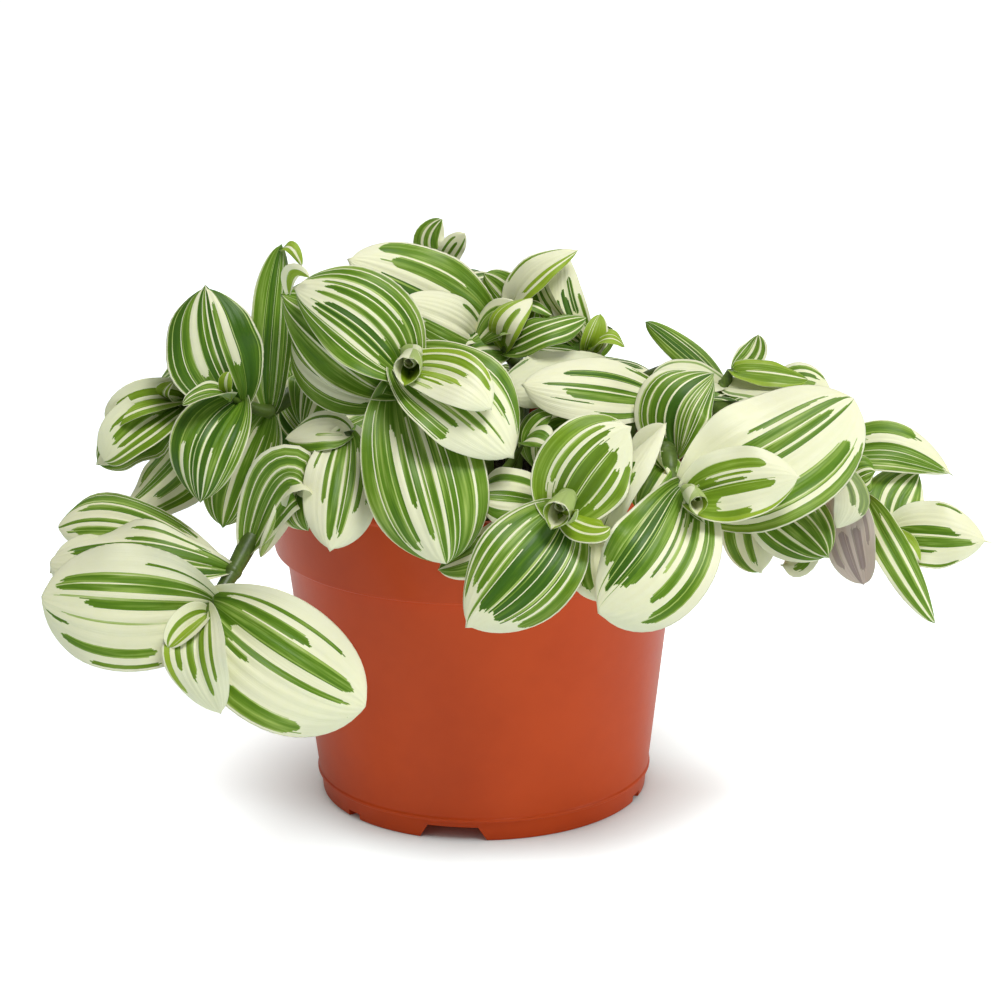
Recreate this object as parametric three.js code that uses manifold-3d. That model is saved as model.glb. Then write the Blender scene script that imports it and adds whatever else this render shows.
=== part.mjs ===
// A tradescantia with cream-striped leaves in a round plastic pot.
// Millimetres, +Z up, +Y away from the viewer. The origin is the centre of the
// pot's foot, on the surface that the pot stands on.

import * as THREE from "three";
import { mergeVertices } from "three/addons/utils/BufferGeometryUtils.js";
import Module from "manifold-3d";

const wasm = await Module();
wasm.setup();

// The pot: a tapered body with a wider band round its mouth.
const POT_HEIGHT = 105;
const RIM_RADIUS = 65;
const RIM_BAND = 26;
const RIM_BAND_LOW_RADIUS = 63.6;
const LIP_BEAD = 2;
const LIP_BEAD_OUT = 0.5;
const BODY_TOP_RADIUS = 60.3;
const FOOT_RIDGE_RADIUS = 51.7;
const FOOT_RIDGE_HEIGHT = 6.8;
const FOOT_RIDGE_OUT = 0.3;
const FOOT_RIDGE_LOW_HALF = 0.6;
const FOOT_RIDGE_TOP_HALF = 0.8;
const FOOT_RADIUS = 50.6;
const FOOT_WALL = 2.7;
const WALL = 1.8;
const FLOOR_THICKNESS = 2.4;
const FLOOR_RAISED = 3;
const CENTRE_PAD_RADIUS = 13;
const POT_SIDES = 40;

// Openings round the foot and through the floor, three of each.
const OPENING_COUNT = 3;
const NOTCH_HEIGHT = 4.4;
const NOTCH_LOW_WIDTH = 22;
const NOTCH_TOP_WIDTH = 15.5;
const NOTCH_AZIMUTH = -101;
const SLOT_HEIGHT = 2;
const SLOT_WIDTH = 5.5;
const SLOT_AZIMUTH = -142;
const CUT_DEPTH = 12;
const DRAIN_RADIUS = 4.5;
const DRAIN_DISTANCE = 30;
const DRAIN_SIDES = 8;

// The soil, filled to a little under the lip.
const SOIL_EDGE_HEIGHT = 89;
const SOIL_CENTRE_HEIGHT = 92;
const CLEARANCE = 0.4;

// Stems and leaves.
const STEM_RADIUS = 2.4;
const STEM_SIDES = 5;
const STEM_STEPS_PER_NODE = 1;
const STEM_FOOT_HEIGHT = 78;
const STEM_STRAIGHT_TO = 95;
const STEM_TIP_LENGTH = 2;
const HOLE_RADIUS = 3.8;
const HOLE_SIDES = 6;
const LEAF_THICKNESS = 0.9;
const LEAF_EDGE_THICKNESS = 0.6;
const LEAF_ROOT_WIDTH = 3;
const SMALL_LEAF_WIDTH = 12;
const WIDE_LEAF_WIDTH = 32;

// The outline of a leaf: its half width is (s + ROOT_START)^ROUND_ROOT times
// (1-s)^TIP_POINT at the share s of its length, over that product's peak.
const ROOT_START = 0.012;
const ROUND_ROOT = 0.5;
const TIP_POINT = 0.62;
const OUTLINE_PEAK = 0.463;
const ROOT_CUP = 0.35;
const CUP_FALL = 0.6;
const LEAF_ROWS = [0, 0.1, 0.3, 0.55, 0.8, 1];
const SMALL_LEAF_ROWS = [0, 0.15, 0.45, 0.78, 1];
const LEAF_COLUMNS = [-1, 0, 1];
const WIDE_LEAF_COLUMNS = [-1, -0.5, 0, 0.5, 1];

const MERGE_DISTANCE = 0.001;

const LEAF_GREEN = new THREE.Color(0.25, 0.45, 0.14);
const POT_ORANGE = new THREE.Color(0.62, 0.2, 0.09);
const SOIL_BROWN = new THREE.Color(0.05, 0.035, 0.025);

// Each shoot is a stem with leaves. Its nodes are the points that the stem
// passes through, from its foot in the soil to its growing tip. Each leaf is
// [node it grows from, middle of its midrib, tip, the way it faces, width, cup].
const FRONT_SHOOTS = [
  {
    name: "shoot_low_left",
    nodes: [[-30, -12], [-40, -22, 112], [-55, -41, 113], [-63, -49, 104], [-72, -62, 90],
      [-78, -72, 83], [-79, -77, 82]],
    leaves: [
      [5, [-101, -79, 84], [-126, -74, 87], [-0.2, -1, 0.35], 35, -0.15],
      [5, [-57, -86, 70], [-34, -84, 56], [0.1, -1, 0.45], 40, -0.2],
      [4, [-98, -68, 99], [-125, -60, 93], [-0.1, -0.9, 1], 27, -0.25],
      [4, [-100, -54, 102], [-124, -46, 99], [-0.1, -0.7, 1], 21, -0.2],
      [6, [-81, -90, 74], [-75, -90, 57], [-0.25, -1, 0.3], 19, -0.1],
      [6, [-85, -84, 80], [-89, -88, 76], [-0.2, -1, 0.5], 9, 0.5],
      [3, [-59, -57, 118], [-51, -64, 118], [-0.2, -0.7, 1], 20, -0.25],
      [3, [-62, -58, 100], [-66, -62, 93], [1, -0.7, 0.3], 5, -0.2],
    ],
  },
  {
    name: "shoot_left_upper",
    nodes: [[-24, 0], [-34, -4, 118], [-50, -16, 134], [-62, -36, 131], [-70, -44, 136],
      [-72, -47, 138]],
    leaves: [
      [4, [-77, -46, 153], [-79, -40, 169], [-0.15, -1, 0.3], 29, -0.1],
      [4, [-79, -58, 127], [-81, -60, 111], [-0.2, -1, 0.5], 23, -0.2],
      [5, [-78, -54, 141], [-85, -58, 139], [0, -0.3, 1], 7, 0.5],
      [3, [-60, -36, 155], [-58, -32, 179], [0.5, -1, 0.1], 13, -0.3],
      [3, [-70, -40, 114], [-76, -43, 98], [0.3, -1, 0.45], 22, -0.2],
      [2, [-49, -32, 138], [-52, -38, 127], [-0.1, -1, 0.2], 15, -0.1],
    ],
  },
  {
    name: "shoot_far_left",
    nodes: [[-36, 12], [-52, 10, 120], [-74, -4, 136], [-81, -20, 126], [-87, -24, 131]],
    leaves: [
      [4, [-99, -32, 127], [-113, -34, 115], [-0.3, -1, 0.8], 22, 0.15],
      [4, [-88, -28, 137], [-91, -30, 142], [-0.8, -1, 0.1], 5, 0.3],
      [3, [-95, -30, 111], [-107, -38, 108], [-0.1, -0.8, 1], 18, -0.2],
    ],
  },
  {
    name: "shoot_centre",
    nodes: [[-10, -10], [-12, -22, 120], [-16, -36, 142], [-23, -54, 142], [-22, -59, 149],
      [-21, -63, 152]],
    leaves: [
      [4, [-33, -62, 166], [-52, -54, 172], [-0.2, -1, 0.5], 28, -0.15],
      [3, [-37, -54, 160], [-56, -46, 168], [-0.2, -1, 0.5], 31, -0.15],
      [3, [-40, -50, 146], [-54, -40, 153], [-0.1, -1, 0.5], 23, -0.2],
      [4, [-4, -74, 144], [9, -76, 128], [0.2, -1, 0.5], 30, -0.15],
      [4, [-7, -76, 151], [3, -80, 143], [0.2, -1, 0.6], 17, -0.1],
      [5, [-21, -70, 158], [-18, -74, 159], [0.3, -1, 0.4], 7, 0.9],
      [3, [-17, -78, 123], [-11, -84, 99], [0, -1, 0.4], 37, -0.25],
    ],
  },
  {
    name: "shoot_top",
    nodes: [[2, 2], [0, 2, 130], [-1, -2, 143], [2, 0, 147]],
    leaves: [
      [3, [-17, -8, 160], [-38, -10, 170], [-0.1, -1, 0.6], 28, -0.2],
      [2, [-9, -14, 152], [-23, -20, 159], [-0.1, -1, 0.5], 17, -0.2],
    ],
  },
  {
    name: "shoot_top_back",
    nodes: [[-8, 22], [-8, 24, 130], [-11, 20, 161]],
    leaves: [
      [2, [-15, 22, 170], [-11, 22, 177], [-0.5, -1, 0.2], 15, -0.1],
      [2, [-8, 18, 169], [-6, 16, 176], [0.4, -1, 0.3], 9, -0.1],
    ],
  },
  {
    name: "shoot_upper_mid",
    nodes: [[10, 14], [12, 14, 130], [8, -7, 141], [11, 4, 151]],
    leaves: [
      [3, [14, 4, 163], [30, 5, 170], [-0.5, -1, 0.3], 11, -0.1],
      [2, [9, -8, 150], [16, -4, 154], [-0.3, -1, 0.3], 10, -0.2],
      [2, [19, -16, 149], [32, -8, 151], [-0.1, -0.8, 1], 12, -0.3],
      [3, [16, 2, 153], [22, 0, 150], [0, -0.3, 1], 6, -0.2],
    ],
  },
  {
    name: "shoot_upper_right",
    nodes: [[22, 12], [24, 14, 130], [38, -4, 133], [35, 6, 137]],
    leaves: [
      [3, [28, 10, 152], [30, 10, 169], [0.3, -1, -0.1], 15, -0.1],
      [3, [21, 4, 153], [20, 8, 161], [-0.6, -1, 0.1], 8, 0.2],
      [3, [34, 2, 142], [33, 2, 148], [0.2, -1, 0.1], 5, 0.3],
      [3, [41, 4, 139], [44, 2, 139], [0, -0.5, 1], 4, 0.2],
      [2, [21, -22, 136], [7, -28, 134], [-0.1, -1, 1], 20, -0.15],
    ],
  },
  {
    name: "shoot_front",
    nodes: [[20, -20], [20, -38, 112], [20, -54, 120], [18, -66, 111], [23, -76, 110],
      [23, -80, 112]],
    leaves: [
      [4, [30, -78, 125], [42, -74, 135], [0.05, -1, 0.3], 28, -0.1],
      [4, [12, -90, 99], [-4, -92, 82], [-0.1, -1, 0.4], 33, -0.25],
      [4, [30, -86, 109], [36, -88, 110], [0.25, -1, 1], 10, -0.2],
      [5, [20, -86, 114], [19, -90, 117], [0.2, -1, 0.5], 4, 1],
      [5, [26, -86, 112], [27, -90, 116], [-0.2, -1, 0.5], 4, 1],
      [3, [8, -72, 115], [-1, -72, 115], [-0.1, -1, 0.9], 19, -0.2],
    ],
  },
  {
    name: "shoot_right_front",
    nodes: [[34, -18], [42, -32, 114], [54, -52, 122], [55, -60, 117], [58, -70, 115],
      [59, -75, 115]],
    leaves: [
      [4, [82, -70, 124], [107, -60, 139], [0.1, -1, 0.6], 36, -0.15],
      [5, [74, -82, 121], [89, -84, 123], [0.1, -1, 0.5], 23, -0.1],
      [4, [53, -90, 101], [33, -94, 87], [-0.1, -1, 0.35], 35, -0.2],
      [5, [60, -82, 116], [61, -86, 121], [0.5, -1, 0.5], 6, 0.8],
      [3, [41, -74, 112], [35, -80, 107], [-0.5, -1, 0.3], 17, -0.2],
      [3, [48, -60, 124], [53, -60, 132], [-0.5, -1, 0.1], 10, 0.2],
    ],
  },
  {
    name: "shoot_right_upper",
    nodes: [[36, 14], [46, 14, 122], [62, 8, 134], [74, 0, 127], [77, 0, 132], [91, 6, 124]],
    leaves: [
      [3, [62, 4, 137], [51, 6, 146], [-0.2, -0.9, 1], 13, -0.2],
      [3, [63, -8, 133], [52, -14, 133], [-0.1, -1, 1], 12, -0.2],
      [4, [87, -6, 133], [99, -8, 131], [0, -0.6, 1], 11, -0.2],
      [4, [83, 2, 136], [85, 4, 142], [-0.4, -1, 0.2], 9, 0.2],
      [5, [98, 6, 129], [107, 4, 126], [-0.1, -1, 0.75], 11, -0.2],
      [3, [84, -8, 128], [97, -10, 128], [0, -0.4, 1], 11, -0.2],
    ],
  },
  {
    name: "shoot_mid_right",
    nodes: [[28, -4], [34, -10, 120], [52, -30, 131], [73, -34, 121]],
    leaves: [
      [2, [33, -38, 137], [13, -40, 139], [-0.1, -1, 0.9], 22, -0.2],
      [3, [63, -42, 136], [50, -46, 141], [-0.2, -1, 0.7], 23, -0.25],
    ],
  },
  {
    name: "shoot_far_right",
    nodes: [[44, 4], [58, 2, 118], [86, -10, 122], [108, -22, 111], [115, -30, 100],
      [122, -36, 91]],
    leaves: [
      [3, [123, -26, 115], [140, -28, 107], [0.1, -1, 0.7], 18, -0.25],
      [5, [135, -44, 93], [148, -48, 92], [0.2, -1, 0.5], 25, -0.2],
      [4, [121, -48, 89], [133, -54, 69], [-0.6, -1, 0.1], 13, -0.2],
      [5, [124, -30, 100], [133, -24, 108], [0.1, -1, 0.5], 21, -0.2],
      [5, [126, -44, 91], [129, -48, 86], [0.3, -1, 0.5], 4, 0.3],
    ],
  },
  {
    name: "shoot_right_low",
    nodes: [[46, -10], [56, -20, 116], [73, -30, 113], [80, -40, 104], [105, -44, 111]],
    leaves: [
      [4, [111, -44, 94], [114, -44, 77], [0.4, 1, 0.4], 17, -0.1],
      [4, [106, -50, 106], [102, -54, 99], [0.5, -1, 0.2], 9, -0.1],
      [3, [91, -48, 99], [101, -54, 90], [0, -1, 0.6], 23, -0.25],
      [3, [79, -46, 94], [82, -50, 84], [-0.2, -1, 0.4], 17, -0.2],
    ],
  },
  {
    name: "shoot_front_left",
    nodes: [[-22, -22], [-26, -36, 114], [-38, -52, 128], [-51, -54, 114]],
    leaves: [
      [2, [-40, -68, 116], [-43, -76, 101], [-0.2, -1, 0.4], 23, -0.25],
      [2, [-46, -54, 130], [-56, -52, 127], [-0.1, -1, 1], 14, -0.2],
      [3, [-52, -62, 109], [-50, -64, 103], [-0.4, -1, 0.4], 14, -0.2],
    ],
  },
  {
    name: "shoot_front_low",
    nodes: [[10, -28], [12, -46, 109], [21, -60, 109], [34, -68, 104]],
    leaves: [
      [3, [34, -78, 95], [35, -82, 86], [0.1, -1, 0.4], 19, -0.2],
      [2, [5, -72, 100], [-12, -78, 95], [-0.1, -1, 0.4], 14, -0.2],
    ],
  },
  {
    name: "shoot_inner",
    nodes: [[0, -30], [6, -38, 110], [13, -42, 122]],
    leaves: [
      [2, [17, -48, 126], [21, -50, 123], [0.1, -1, 1], 9, -0.2],
      [2, [17, -42, 128], [21, -42, 130], [-0.3, -1, 0.3], 5, 0.2],
    ],
  },
];

// The shoots behind follow one habit: the stem leans out at an azimuth from +X,
// [distance out, height] at each node, and a leaf grows from each node, to one
// side and the other by turns, with one more straight ahead at the growing tip.
const BACK_SHOOTS = [
  {
    name: "shoot_back_right",
    azimuth: 22,
    size: 0.88,
    path: [[45], [54, 117], [64, 111], [75, 112], [80, 110]],
  },
  {
    name: "shoot_back_mid_right",
    azimuth: 66,
    size: 1.02,
    path: [[48], [59, 110], [66, 111], [77, 106], [83, 95]],
  },
  {
    name: "shoot_back",
    azimuth: 96,
    size: 1.02,
    hand: -1,
    path: [[44], [51, 125], [65, 128], [71, 125], [78, 105]],
  },
  {
    name: "shoot_back_mid_left",
    azimuth: 133,
    size: 1.01,
    hand: -1,
    path: [[48], [56, 120], [70, 111], [78, 96], [83, 110]],
  },
  {
    name: "shoot_back_left",
    azimuth: 154,
    size: 1.01,
    hand: -1,
    path: [[45], [54, 130], [66, 133], [71, 127], [80, 119]],
  },
  {
    name: "shoot_crown_right",
    azimuth: 62,
    size: 0.57,
    hand: -1,
    path: [[22], [30, 120], [39, 120], [43, 117], [54, 129]],
  },
  {
    name: "shoot_crown_left",
    azimuth: 109,
    size: 0.94,
    hand: -1,
    path: [[29], [31, 142], [41, 143], [45, 144], [54, 142]],
  },
];
// Each leaf of such a shoot: [node, turn from the shoot's azimuth, length].
const BACK_LEAVES = [
  [1, 74, 28],
  [2, -70, 42],
  [3, 62, 44],
  [4, -52, 42],
  [4, 10, 38],
];
const BACK_WIDTH_SHARE = 0.68;
const BACK_RISE = 0.16;
const BACK_FALL = 0.22;
const BACK_CUP = -0.18;

const radians = THREE.MathUtils.degToRad;
const vector = (p) => new THREE.Vector3(...p);

function heading(azimuth) {
  return new THREE.Vector3(Math.cos(radians(azimuth)), Math.sin(radians(azimuth)), 0);
}

function backLeaf(root, node, azimuth, length) {
  const away = heading(azimuth);
  const mid = vector(root).addScaledVector(away, length / 2);
  mid.z += length * BACK_RISE;
  const tip = vector(root).addScaledVector(away, length);
  tip.z -= length * BACK_FALL;
  const face = away.clone().setZ(1);
  return [node, mid.toArray(), tip.toArray(), face.toArray(), length * BACK_WIDTH_SHARE, BACK_CUP];
}

function backShoot({ name, azimuth, size, hand = 1, path }) {
  const nodes = path.map(([out, up]) => heading(azimuth).multiplyScalar(out).setZ(up).toArray());
  const leaves = BACK_LEAVES.map(([node, turn, length]) =>
    backLeaf(nodes[node], node, azimuth + hand * turn, length * size),
  );
  return { name, nodes, leaves };
}

// A closed geometry as a solid, with its shared corners merged.
function toSolid(geometry) {
  const bare = geometry.clone();
  bare.deleteAttribute("normal");
  bare.deleteAttribute("uv");
  const merged = mergeVertices(bare, MERGE_DISTANCE);
  return new wasm.Manifold(
    new wasm.Mesh({
      numProp: 3,
      vertProperties: new Float32Array(merged.attributes.position.array),
      triVerts: new Uint32Array(merged.index.array),
    }),
  );
}

function toMesh(name, solid, material) {
  const made = solid.getMesh();
  const geometry = new THREE.BufferGeometry();
  geometry.setAttribute("position", new THREE.BufferAttribute(made.vertProperties, made.numProp));
  geometry.setIndex(new THREE.BufferAttribute(made.triVerts, 1));
  geometry.computeVertexNormals();
  const mesh = new THREE.Mesh(geometry, material);
  mesh.name = name;
  return mesh;
}

// A profile of [radius, height] points turned round the Z axis.
function turned(profile, sides) {
  const points = profile.map(([r, z]) => new THREE.Vector2(r, z));
  return new THREE.LatheGeometry(points, sides).rotateX(Math.PI / 2);
}

function potWallRadius(z) {
  const share = (z - FOOT_RIDGE_HEIGHT) / (POT_HEIGHT - RIM_BAND - FOOT_RIDGE_HEIGHT);
  return THREE.MathUtils.lerp(FOOT_RIDGE_RADIUS, BODY_TOP_RADIUS, share);
}

function potProfile() {
  const bandLow = POT_HEIGHT - RIM_BAND;
  const floorTop = FLOOR_RAISED + FLOOR_THICKNESS;
  const bead = RIM_RADIUS + LIP_BEAD_OUT;
  return [
    [0, 0],
    [CENTRE_PAD_RADIUS, 0],
    [CENTRE_PAD_RADIUS, FLOOR_RAISED],
    [FOOT_RADIUS - FOOT_WALL, FLOOR_RAISED],
    [FOOT_RADIUS - FOOT_WALL, 0],
    [FOOT_RADIUS, 0],
    [FOOT_RADIUS, FOOT_RIDGE_HEIGHT - FOOT_RIDGE_LOW_HALF],
    [FOOT_RIDGE_RADIUS + FOOT_RIDGE_OUT, FOOT_RIDGE_HEIGHT],
    [FOOT_RIDGE_RADIUS, FOOT_RIDGE_HEIGHT + FOOT_RIDGE_TOP_HALF],
    [BODY_TOP_RADIUS, bandLow],
    [RIM_BAND_LOW_RADIUS, bandLow],
    [RIM_RADIUS, POT_HEIGHT - LIP_BEAD],
    [bead, POT_HEIGHT - LIP_BEAD / 2],
    [RIM_RADIUS - WALL / 3, POT_HEIGHT],
    [RIM_RADIUS - WALL, POT_HEIGHT - LIP_BEAD / 2],
    [RIM_BAND_LOW_RADIUS - WALL, bandLow + WALL],
    [BODY_TOP_RADIUS - WALL, bandLow + WALL],
    [potWallRadius(floorTop) - WALL, floorTop],
    [0, floorTop],
  ];
}

// A flat-sided wedge through the foot, wider at the floor than at its top.
function footCut(azimuth, lowWidth, topWidth, height) {
  const below = 1;
  const widen = (lowWidth - topWidth) / height;
  const outline = new THREE.Shape([
    new THREE.Vector2(-(lowWidth + widen * below) / 2, -below),
    new THREE.Vector2((lowWidth + widen * below) / 2, -below),
    new THREE.Vector2(topWidth / 2, height),
    new THREE.Vector2(-topWidth / 2, height),
  ]);
  const wedge = new THREE.ExtrudeGeometry(outline, { depth: CUT_DEPTH, bevelEnabled: false });
  wedge.rotateX(Math.PI / 2).translate(0, -FOOT_RADIUS + CUT_DEPTH / 2 + WALL, 0);
  return toSolid(wedge.rotateZ(radians(azimuth + 90)));
}

function drainHole(azimuth) {
  const hole = new THREE.CylinderGeometry(DRAIN_RADIUS, DRAIN_RADIUS, CUT_DEPTH, DRAIN_SIDES);
  hole.rotateX(Math.PI / 2);
  return toSolid(hole.translate(DRAIN_DISTANCE, 0, FLOOR_RAISED).rotateZ(radians(azimuth)));
}

function pot() {
  let solid = toSolid(turned(potProfile(), POT_SIDES));
  for (let k = 0; k < OPENING_COUNT; k += 1) {
    const turn = (360 / OPENING_COUNT) * k;
    const notch = footCut(NOTCH_AZIMUTH + turn, NOTCH_LOW_WIDTH, NOTCH_TOP_WIDTH, NOTCH_HEIGHT);
    const slot = footCut(SLOT_AZIMUTH + turn, SLOT_WIDTH, SLOT_WIDTH, SLOT_HEIGHT);
    solid = solid.subtract(notch).subtract(slot).subtract(drainHole(NOTCH_AZIMUTH + turn));
  }
  return solid;
}

// A curve that is stepped evenly from node to node, so no node falls between
// two of its steps.
class NodeCurve extends THREE.CatmullRomCurve3 {
  getUtoTmapping(share) {
    return share;
  }
}

// A stem through its nodes; the first stretch stands straight up in the soil.
function stemCurve(nodes) {
  const [x, y] = nodes[0];
  const points = [
    new THREE.Vector3(x, y, STEM_FOOT_HEIGHT),
    new THREE.Vector3(x, y, STEM_STRAIGHT_TO),
    ...nodes.slice(1).map(vector),
  ];
  const [before, end] = points.slice(-2);
  const onward = end.clone().sub(before).setLength(STEM_TIP_LENGTH);
  points.push(end.clone().add(onward));
  return new NodeCurve(points);
}

function stem(nodes) {
  const curve = stemCurve(nodes);
  const outline = new THREE.Shape();
  for (let k = 0; k < STEM_SIDES; k += 1) {
    const turn = (2 * Math.PI * k) / STEM_SIDES;
    const corner = [STEM_RADIUS * Math.cos(turn), STEM_RADIUS * Math.sin(turn)];
    if (k === 0) outline.moveTo(...corner);
    else outline.lineTo(...corner);
  }
  const steps = (curve.points.length - 1) * STEM_STEPS_PER_NODE;
  return toSolid(new THREE.ExtrudeGeometry(outline, { steps, extrudePath: curve }));
}

// A plain upright hole for the foot of a stem.
function stemHole([x, y]) {
  const low = STEM_FOOT_HEIGHT - CLEARANCE;
  const depth = STEM_STRAIGHT_TO - low;
  const hole = new THREE.CylinderGeometry(HOLE_RADIUS, HOLE_RADIUS, depth, HOLE_SIDES);
  return toSolid(hole.rotateX(Math.PI / 2).translate(x, y, low + depth / 2));
}

function soil(shoots) {
  const inside = (z) => potWallRadius(z) - WALL - CLEARANCE;
  const low = FLOOR_RAISED + FLOOR_THICKNESS + CLEARANCE;
  const step = POT_HEIGHT - RIM_BAND + WALL + CLEARANCE;
  const wide = RIM_BAND_LOW_RADIUS - WALL - CLEARANCE;
  const profile = [
    [0, low],
    [inside(low), low],
    [inside(step) - CLEARANCE, step],
    [wide, step],
    [wide, SOIL_EDGE_HEIGHT],
    [0, SOIL_CENTRE_HEIGHT],
  ];
  let solid = toSolid(turned(profile, POT_SIDES));
  for (const { nodes } of shoots) {
    solid = solid.subtract(stemHole(nodes[0]));
  }
  return solid;
}

// One row of a leaf, at the share s of its length: a point for each column, on
// its upper and its lower face.
function leafRow({ root, mid, tip, face, width, cup }, s, columns) {
  const bend = mid.clone().multiplyScalar(2).addScaledVector(root, -0.5).addScaledVector(tip, -0.5);
  const midrib = new THREE.QuadraticBezierCurve3(root, bend, tip);
  const sideways = tip.clone().sub(root).cross(face).normalize();
  const along = midrib.getTangent(s);
  const outward = sideways.clone().cross(along).normalize();
  const across = along.clone().cross(outward);
  const outline = ((s + ROOT_START) ** ROUND_ROOT * (1 - s) ** TIP_POINT) / OUTLINE_PEAK;
  const half = s === 0 ? LEAF_ROOT_WIDTH / 2 : (width / 2) * outline;
  const curl = cup + ROOT_CUP - CUP_FALL * s;
  return columns.map((t) => {
    const middle = midrib.getPoint(s).addScaledVector(across, half * t);
    middle.addScaledVector(outward, half * curl * t * t);
    const edge = LEAF_EDGE_THICKNESS * t * t + LEAF_THICKNESS * (1 - t * t);
    return [1, -1].map((up) => middle.clone().addScaledVector(outward, (up * edge) / 2));
  });
}

// A closed leaf: both faces are split along the same diagonals.
function leaf(shape) {
  const shares = shape.width < SMALL_LEAF_WIDTH ? SMALL_LEAF_ROWS : LEAF_ROWS;
  const columns = shape.width < WIDE_LEAF_WIDTH ? LEAF_COLUMNS : WIDE_LEAF_COLUMNS;
  const last = columns.length - 1;
  const rows = shares.map((s) => leafRow(shape, s, s === 1 ? [0] : columns));
  const triangles = [];
  const quad = (a, b, c, d) => triangles.push(a, b, c, a, c, d);
  for (let i = 1; i < rows.length; i += 1) {
    const [low, high] = [rows[i - 1], rows[i]];
    const at = (j) => high[Math.min(j, high.length - 1)];
    for (let j = 0; j < last; j += 1) {
      quad(low[j][0], low[j + 1][0], at(j + 1)[0], at(j)[0]);
      quad(at(j)[1], at(j + 1)[1], low[j + 1][1], low[j][1]);
    }
    quad(low[0][0], at(0)[0], at(0)[1], low[0][1]);
    quad(low[last][1], at(last)[1], at(last)[0], low[last][0]);
    if (i === 1) {
      for (let j = 0; j < last; j += 1) quad(low[j][1], low[j + 1][1], low[j + 1][0], low[j][0]);
    }
  }
  const geometry = new THREE.BufferGeometry().setFromPoints(triangles);
  return toSolid(geometry);
}

function shoot({ nodes, leaves }) {
  let solid = stem(nodes);
  for (const [node, mid, tip, face, width, cup] of leaves) {
    const shape = { root: vector(nodes[node]), mid: vector(mid), tip: vector(tip) };
    solid = solid.add(leaf({ ...shape, face: vector(face), width, cup }));
  }
  return solid;
}

function potMaterial() {
  return new THREE.MeshStandardMaterial({ color: POT_ORANGE, roughness: 0.45, metalness: 0 });
}

function soilMaterial() {
  return new THREE.MeshStandardMaterial({ color: SOIL_BROWN, roughness: 1, metalness: 0 });
}

function leafMaterial() {
  return new THREE.MeshStandardMaterial({ color: LEAF_GREEN, roughness: 0.45, metalness: 0 });
}

const plant = new THREE.Group();
const shoots = [...FRONT_SHOOTS, ...BACK_SHOOTS.map(backShoot)];
plant.add(toMesh("pot", pot(), potMaterial()));
plant.add(toMesh("soil", soil(shoots), soilMaterial()));
for (const made of shoots) {
  plant.add(toMesh(made.name, shoot(made), leafMaterial()));
}

export default plant;
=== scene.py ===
# %% [markdown]
# # A potted tradescantia
# A trailing house plant with pointed leaves in green and cream stripes, grown
# full over the rim of an orange-brown plastic pot. This lesson dresses the
# plain solids of the plant: it turns a finer pot, fills it with crumbly soil,
# lets the stems follow their nodes, and lays out every leaf vein by vein.
# All places are written in millimetres, as a maker would measure them, and
# turned to Blender's metres when a mesh is made.

# %% The frame: the plant's solids from model.glb, set in place
import math
import random

import bpy
import numpy as np
from mathutils import Matrix, Vector


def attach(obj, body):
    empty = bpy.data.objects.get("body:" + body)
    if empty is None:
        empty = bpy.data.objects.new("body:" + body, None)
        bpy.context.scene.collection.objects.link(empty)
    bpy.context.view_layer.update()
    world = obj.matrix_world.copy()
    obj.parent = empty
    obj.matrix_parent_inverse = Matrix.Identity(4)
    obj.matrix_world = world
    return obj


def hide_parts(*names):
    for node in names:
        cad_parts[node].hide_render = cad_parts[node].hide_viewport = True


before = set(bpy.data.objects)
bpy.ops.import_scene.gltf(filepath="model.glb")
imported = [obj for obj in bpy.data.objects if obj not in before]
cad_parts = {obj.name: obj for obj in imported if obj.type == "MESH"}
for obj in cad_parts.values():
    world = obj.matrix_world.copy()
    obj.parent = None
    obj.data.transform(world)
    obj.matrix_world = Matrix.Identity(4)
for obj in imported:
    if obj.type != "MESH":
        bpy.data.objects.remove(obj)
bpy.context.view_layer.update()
MM = 0.001
print("solids in the frame:", len(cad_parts))

# %% [markdown]
# ## The camera
# A long lens a metre away looks a little down at the pot, so the mouth of the
# pot is a thin ellipse and the trailing shoots keep their true sizes.

# %% A camera from a place, three angles and a lens
CAMERA_PLACE = (0.0, -981.9129, 390.3722)
CAMERA_YAW, CAMERA_PITCH, CAMERA_ROLL = 0.0060, 0.2952, -0.0101
LENS, SENSOR = 120.13, 36


def make_camera():
    """A camera turned by yaw, then down by pitch, then about its own line of sight."""
    ahead = Vector((
        math.sin(CAMERA_YAW) * math.cos(CAMERA_PITCH),
        math.cos(CAMERA_YAW) * math.cos(CAMERA_PITCH),
        -math.sin(CAMERA_PITCH),
    ))
    level = ahead.cross(Vector((0, 0, 1))).normalized()
    upright = level.cross(ahead)
    c, s = math.cos(CAMERA_ROLL), math.sin(CAMERA_ROLL)
    right, up = level * c + upright * s, upright * c - level * s
    data = bpy.data.cameras.new("camera")
    data.lens, data.sensor_width, data.clip_start = LENS, SENSOR, 0.01
    camera = bpy.data.objects.new("camera", data)
    turn = Matrix((right, up, -ahead)).transposed().to_4x4()
    camera.matrix_world = Matrix.Translation(Vector(CAMERA_PLACE) * MM) @ turn
    bpy.context.scene.collection.objects.link(camera)
    bpy.context.scene.camera = camera
    return camera


print("lens:", make_camera().data.lens)

# %% [markdown]
# ## Light and floor
# The plant stands on a white sweep in a bright studio. A key lamp above and to
# the right shapes the leaves, a side lamp draws the light edge down the pot,
# and a weak fill and a rear lamp open the shadows. World and floor have one
# strength for what they light and another for what the camera sees, so the
# background stays white and doesn't wash out the plant. An ambient occlusion
# node dims the floor's glow close to the pot, for a soft contact shade.

# %% A little shader kit: nodes by type, links by name
def new_material(name):
    """A material, its node tree and its Principled shader."""
    material = bpy.data.materials.new(name)
    material.use_nodes = True
    return material, material.node_tree, material.node_tree.nodes["Principled BSDF"]


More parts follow.
